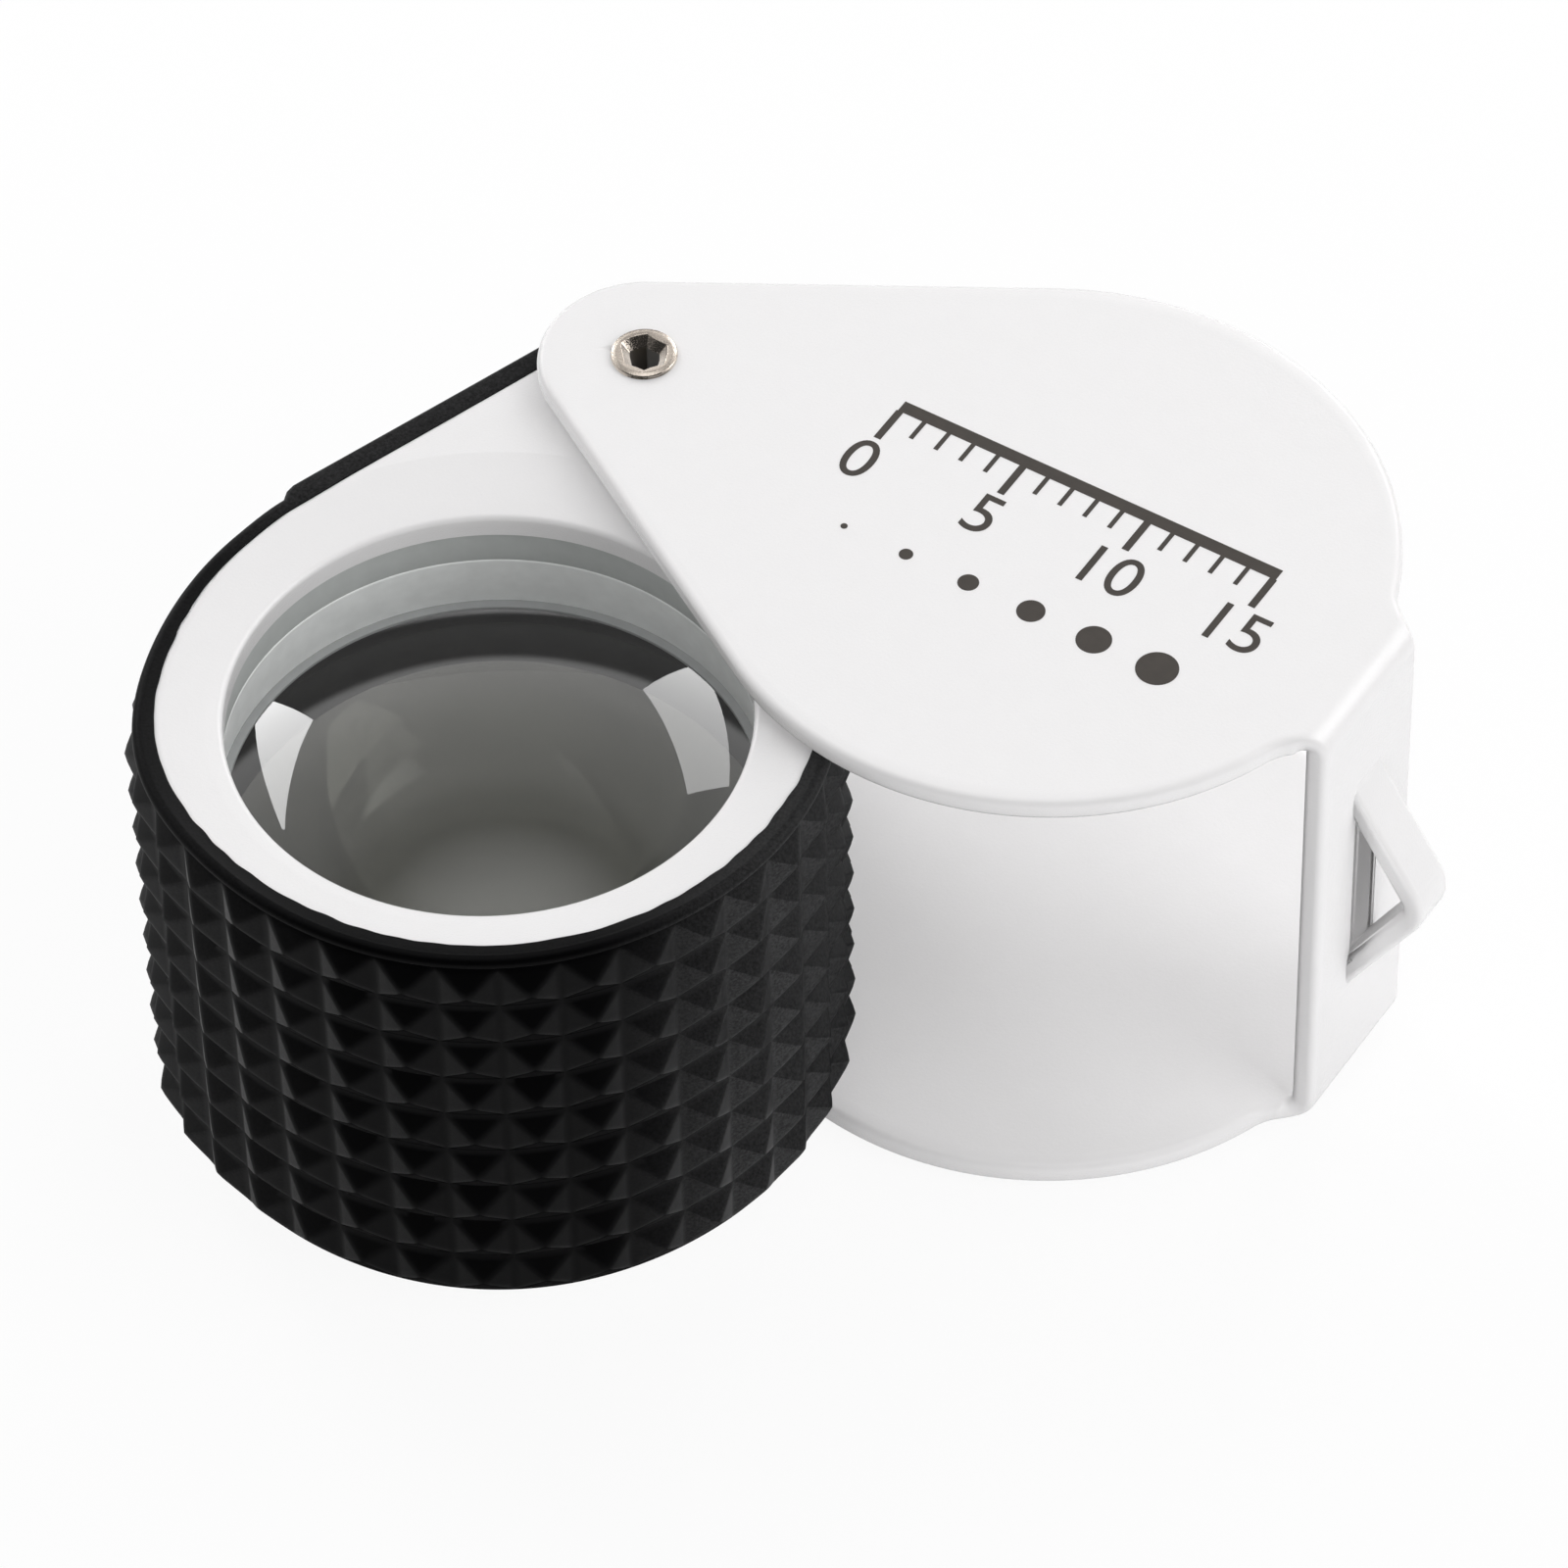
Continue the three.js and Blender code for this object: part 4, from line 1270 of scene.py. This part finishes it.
class LOUPE_OT_rings(Operator):
    """Turn the barrel and the rings round the glass"""

    bl_idname = "loupe.rings"
    bl_label = "Barrel and rings"

    def execute(self, context):
        optics = context.scene.loupe_optics
        grey = metal_finish("turned_barrel", optics.metal, 0.45, 0.1)
        pale = metal_finish("turned_ring", optics.pale_metal, 0.4, 0.1)
        dark = metal_finish("browned_ring", optics.dark_metal, 0.45)
        paint = painted_finish("bezel_paint")
        low, high = BARREL_LOW.z, BARREL_HIGH.z
        seat, foot, lip = optics.seat, optics.ring_foot, optics.seat_lip
        shoulder, outside = optics.shoulder, optics.ring
        tube = [
            (seat, low), (optics.barrel, low), (optics.barrel, high),
            (shoulder, high), (shoulder, SPACER_TOP), (seat, SPACER_TOP)]
        glass_seat = ring_section("upper_seat_ring", lip, outside, lip)
        glass_seat[0] = (lip, FRONT_TOP - sag(optics.outer_curve, lip) + 0.03 * MM)
        spacer = ring_section("upper_spacer_ring", foot, outside, shoulder)
        retainer = ring_section("lower_retaining_ring", shoulder, outside, foot)
        rear_seat = ring_section("lower_seat_ring", foot, outside, foot)
        bezel = ring_section("lower_bezel_ring", optics.bezel, optics.barrel, optics.bezel)
        for name, node, finish, slot, rounding, section in (
            ("lens_tube", "lens_barrel", grey, "grey_metal", 0.07 * MM, tube),
            ("spacer", "upper_spacer_ring", pale, "pale_metal", 0.07 * MM, spacer),
            ("retainer", "lower_retaining_ring", pale, "pale_metal", 0.07 * MM, retainer),
            ("glass_seat", "upper_seat_ring", dark, "blackened_metal", 0.02 * MM, glass_seat),
            ("rear_glass_seat", "lower_seat_ring", dark, "blackened_metal", 0.03 * MM, rear_seat),
            ("rear_bezel", "lower_bezel_ring", paint, "off_white_paint", 0.12 * MM, bezel),
        ):
            profile = fillet_path(section, [rounding] * len(section), steps=4, closed=True)
            finish_piece(turned(name, profile, LENS), [finish], "holder", [node])
        return {"FINISHED"}


class LOUPE_OT_glass(Operator):
    """Grind the three glasses of the triplet"""

    bl_idname = "loupe.glass"
    bl_label = "Triplet"

    def execute(self, context):
        optics = context.scene.loupe_optics
        finishes = [glass_finish(), matt_finish("blackened_edge", optics.black), cement_finish()]
        clear, cement = 0, 2
        radius, outer, inner = optics.glass_radius, optics.outer_curve, optics.cement_curve
        front_rim = FRONT_TOP - sag(outer, radius)
        rear_rim = REAR_FOOT + sag(outer, radius)
        front_cement = front_rim - optics.flint_edge
        rear_cement = rear_rim + optics.flint_edge
        gap = optics.cement_gap

        def open_face(rim, rise):
            """An outer surface of the triplet."""
            return cap(outer, radius, rim, rise, 40)

        def joined_face(rim, rise):
            """A surface that is cemented to the next glass."""
            return cap(inner, radius, rim, rise, 28)

        lens_piece(
            "front_glass", "front_flint_lens", finishes,
            joined_face(front_cement, 1), cement, open_face(front_rim, 1), clear)
        lens_piece(
            "middle_glass", "crown_lens", finishes,
            joined_face(rear_cement + gap, -1), cement, joined_face(front_cement - gap, 1), cement)
        lens_piece(
            "rear_glass", "rear_flint_lens", finishes,
            open_face(rear_rim, -1), clear, joined_face(rear_cement, -1), cement, mask=optics.mask)
        return {"FINISHED"}


class LOUPE_OT_print(Operator):
    """Print the plain millimetre scale and dot gauge"""

    bl_idname = "loupe.print_marks"
    bl_label = "Scale print"

    def execute(self, context):
        marks = context.scene.loupe_print
        ink = matt_finish("printing_ink", marks.ink, 2500, 1.5, 0.45)
        finish_piece(print_mesh(marks), [ink], "case", (), sharp=30, weighted=False)
        return {"FINISHED"}


def place_camera(stage):
    """A camera turned about the vertical, tilted and rolled, at a distance from the point it looks at."""
    lens = bpy.data.cameras.new("camera")
    lens.sensor_width = 36
    lens.lens = stage.focal
    lens.clip_start = 0.01
    camera = show("camera", lens)
    turn = Matrix.Rotation(stage.turn, 4, "Z") @ Matrix.Rotation(stage.tilt, 4, "X")
    turn = turn @ Matrix.Rotation(stage.roll, 4, "Z")
    back = turn @ Vector((0, 0, stage.distance))
    camera.matrix_world = Matrix.Translation(Vector(stage.aim) + back) @ turn
    bpy.context.scene.camera = camera


def floor_finish(stage):
    """Pale matt floor: mostly plain white to the camera, and
    fading into the background beyond the object."""
    material, shader, add = new_material("pale_floor")
    fade_start, fade_end = 60 * MM, 200 * MM
    fill_inputs(shader, {
        "Base Color": mottled(add, object_noise(add, 30, 2), stage.floor_paint, 0.99, 1.0),
        "Roughness": 0.9,
        "Specular IOR Level": 0.1,
    })
    place = add("ShaderNodeTexCoord").outputs["Object"]
    away = add("ShaderNodeVectorMath", {0: place}, operation="LENGTH").outputs["Value"]
    fade = remap(add, away, 0.0, 1.0, fade_start, fade_end, interpolation_type="SMOOTHSTEP")
    is_camera = add("ShaderNodeLightPath").outputs["Is Camera Ray"]
    white = add("ShaderNodeEmission", {"Color": (1, 1, 1, 1), "Strength": 1.0})
    share = calculate(add, "MULTIPLY", is_camera, stage.floor_white)
    lit = add("ShaderNodeMixShader", {0: share, 1: shader, 2: white})
    both = add("ShaderNodeMixShader", {0: fade, 1: lit, 2: add("ShaderNodeBsdfTransparent")})
    fill_inputs(material.node_tree.nodes["Material Output"], {"Surface": both})
    return material


def lay_floor(stage):
    """A disc just under the case."""
    steps, rings = 96, 13
    angles = np.linspace(0, 2 * math.pi, steps, endpoint=False)[:, None]
    radius = stage.floor_radius * np.linspace(0, 1, rings)
    points = about_axis((0, 0), radius, angles, CAD_BOX[0].z - 0.01 * MM)
    mesh = fill_mesh("floor", points, grid_faces(steps, rings, True, False)[:, ::-1])
    mesh.materials.append(floor_finish(stage))
    show("floor", mesh)


def light_world(stage):
    """White where the camera, a reflection or the glass sees
    it, and a dimmer fill on whatever is lit by it."""
    world = bpy.data.worlds.new("world")
    add = bare_nodes(world)
    path = add("ShaderNodeLightPath").outputs
    mirrored = calculate(add, "MAXIMUM", path["Is Glossy Ray"], path["Is Transmission Ray"])
    seen = calculate(add, "MAXIMUM", path["Is Camera Ray"], mirrored)
    before_diffuse = calculate(add, "LESS_THAN", path["Diffuse Depth"], 0.5)
    shown = calculate(add, "MULTIPLY", seen, before_diffuse)
    strength = remap(add, shown, stage.fill, 1.0)
    background = add("ShaderNodeBackground", {"Color": (1, 1, 1, 1), "Strength": strength})
    add("ShaderNodeOutputWorld", {"Surface": background})
    bpy.context.scene.world = world


def place_lamps(stage):
    """Soft boxes round the object, each facing it. Turns are measured from straight behind it, as the
    photograph sees it, towards the right; turn, lift, width and height are in degrees."""
    right = Vector((math.cos(stage.turn), math.sin(stage.turn), 0))
    away = UP.cross(right)
    for name, radiance, *angles in (
        ("left_box", stage.left_light, -36, 20, 20, 38),
        ("right_box", stage.right_light, 28, 20, 22, 38),
        ("back_box", stage.back_light, 0, 52, 60, 24),
        ("key_box", stage.key_light, 118, 28, 40, 36),
        ("front_box", stage.front_light, 200, 32, 44, 34),
    ):
        turn, lift, width, height = (math.radians(angle) for angle in angles)
        level = right * math.sin(turn) + away * math.cos(turn)
        place = (level * math.cos(lift) + UP * math.sin(lift)) * stage.lamp_distance
        light = bpy.data.lights.new(name, "AREA")
        light.shape = "RECTANGLE"
        light.size = 2 * stage.lamp_distance * math.tan(width / 2)
        light.size_y = 2 * stage.lamp_distance * math.tan(height / 2)
        light.energy = radiance * math.pi * light.size * light.size_y
        lamp = show(name, light)
        facing = (-place).to_track_quat("-Z", "Y").to_matrix().to_4x4()
        lamp.matrix_world = Matrix.Translation(Vector(stage.aim) + place) @ facing
        lamp.visible_camera = False
        lamp.visible_glossy = False


def tent_glow(stage, lift, angle):
    """Radiance of the tent's cloth over its lift and angle: dark up to the table's edge, bright behind the
    object, fading upwards, and bright again overhead. Towards the camera it stays dark."""
    degrees = np.degrees(lift)
    dimmest = 0.03
    wall = np.interp(degrees, [14.5, 17, 25, 31, 48, 53, 58, 63], [0, 1.35, 1.3, 1.1, 0.75, 0.6, 0.2, 0])
    table = np.interp(degrees, [-2, 4, 14.5, 17], [0.12, 0.2, 0.2, 0])
    roof = stage.zenith * np.interp(degrees, [55, 60, 64, 68, 72, 80], [0, 0.1, 0.15, 0.4, 0.65, 1])
    behind = np.clip(np.cos(angle - stage.turn - math.pi / 2) * 2.5 + 0.6, 0, 1)
    return dimmest + (wall + table) * behind + roof


def hang_tent(stage):
    """The studio's tent as reflections see it: a dome of radius * (cos e cos a, cos e sin a, sin e) over
    the lift e and the angle a, with three panels in front of its cloth."""
    steps, rings = 96, 121
    angle = np.linspace(0, 2 * math.pi, steps, endpoint=False)[:, None]
    lift = np.radians(np.linspace(-8, 90, rings))[None]
    radius = stage.tent_radius
    cloth = about_axis((0, 0), radius * np.cos(lift), angle, radius * np.sin(lift))
    cloth_faces = grid_faces(steps, rings, True, False)[:, ::-1]

    # Panels, each by the turn and lift of its corners in degrees as seen from the glass
    turn, panel_lift = np.radians([
        [(-24.5, 1), (-47, 38), (-47, 38.6), (-25.4, 19.6)],
        [(17.5, 1.5), (39.2, 30.4), (38, 39.4), (17, 19)],
        [(64, 12), (104, 12), (104, 48), (64, 48)],
    ])[:, ::-1].transpose(2, 0, 1)
    reach = 0.8 * radius
    bearing = stage.turn + math.pi / 2 - turn
    panels = about_axis(LENS, reach * np.cos(panel_lift), bearing, reach * np.sin(panel_lift))
    panel_faces = np.arange(len(panels)).reshape(-1, 4) + len(cloth)
    mesh = fill_mesh("tent", np.concatenate([cloth, panels]), np.concatenate([cloth_faces, panel_faces]))

    shine = np.repeat([stage.left_glow, stage.right_glow, stage.side_glow], 4)
    glow = np.concatenate([tent_glow(stage, lift, angle).ravel(), shine]).astype(np.float32)
    mesh.attributes.new("glow", "FLOAT", "POINT").data.foreach_set("value", glow)
    material = bpy.data.materials.new("tent_cloth")
    add = bare_nodes(material)
    strength = add("ShaderNodeAttribute", attribute_name="glow").outputs["Fac"]
    add("ShaderNodeOutputMaterial", {"Surface": add("ShaderNodeEmission", {"Strength": strength})})
    mesh.materials.append(material)
    tent = show("tent", mesh)
    for ray in ("camera", "diffuse", "transmission", "volume_scatter", "shadow"):
        setattr(tent, f"visible_{ray}", False)


class LOUPE_OT_stage(Operator):
    """Set the camera, the pale floor and the soft light"""

    bl_idname = "loupe.stage"
    bl_label = "Stage"

    def execute(self, context):
        stage = context.scene.loupe_stage
        for step in (place_camera, lay_floor, light_world, place_lamps, hang_tent):
            step(stage)
        context.scene.view_settings.view_transform = "Standard"
        return {"FINISHED"}


OPERATORS = (
    LOUPE_OT_stage,
    LOUPE_OT_case,
    LOUPE_OT_rivet,
    LOUPE_OT_washers,
    LOUPE_OT_holder,
    LOUPE_OT_grip,
    LOUPE_OT_rings,
    LOUPE_OT_glass,
    LOUPE_OT_print,
)
SETTINGS = {
    "loupe_case": CaseSettings,
    "loupe_rivet": RivetSettings,
    "loupe_holder": HolderSettings,
    "loupe_grip": GripSettings,
    "loupe_optics": OpticsSettings,
    "loupe_print": PrintSettings,
    "loupe_stage": StageSettings,
}


class LOUPE_PT_panel(Panel):
    """Lists the loupe's pieces in the sidebar"""

    bl_idname = "LOUPE_PT_panel"
    bl_label = "Folding Loupe"
    bl_space_type = "VIEW_3D"
    bl_region_type = "UI"
    bl_category = "Loupe"

    def draw(self, context):
        for operator in OPERATORS:
            self.layout.operator(operator.bl_idname, text=operator.bl_label)


def register():
    """Registers every class and hangs the settings on the scene."""
    for kind in (*SETTINGS.values(), *OPERATORS, LOUPE_PT_panel):
        bpy.utils.register_class(kind)
    for name, kind in SETTINGS.items():
        setattr(bpy.types.Scene, name, PointerProperty(type=kind))


def unregister():
    """Takes the settings off the scene and unregisters every class."""
    for name in SETTINGS:
        delattr(bpy.types.Scene, name)
    for kind in reversed((*SETTINGS.values(), *OPERATORS, LOUPE_PT_panel)):
        bpy.utils.unregister_class(kind)


def main():
    register()
    for operator in OPERATORS:
        group, name = operator.bl_idname.split(".")
        getattr(getattr(bpy.ops, group), name)()
    bpy.context.view_layer.update()


if __name__ == "__main__":
    main()
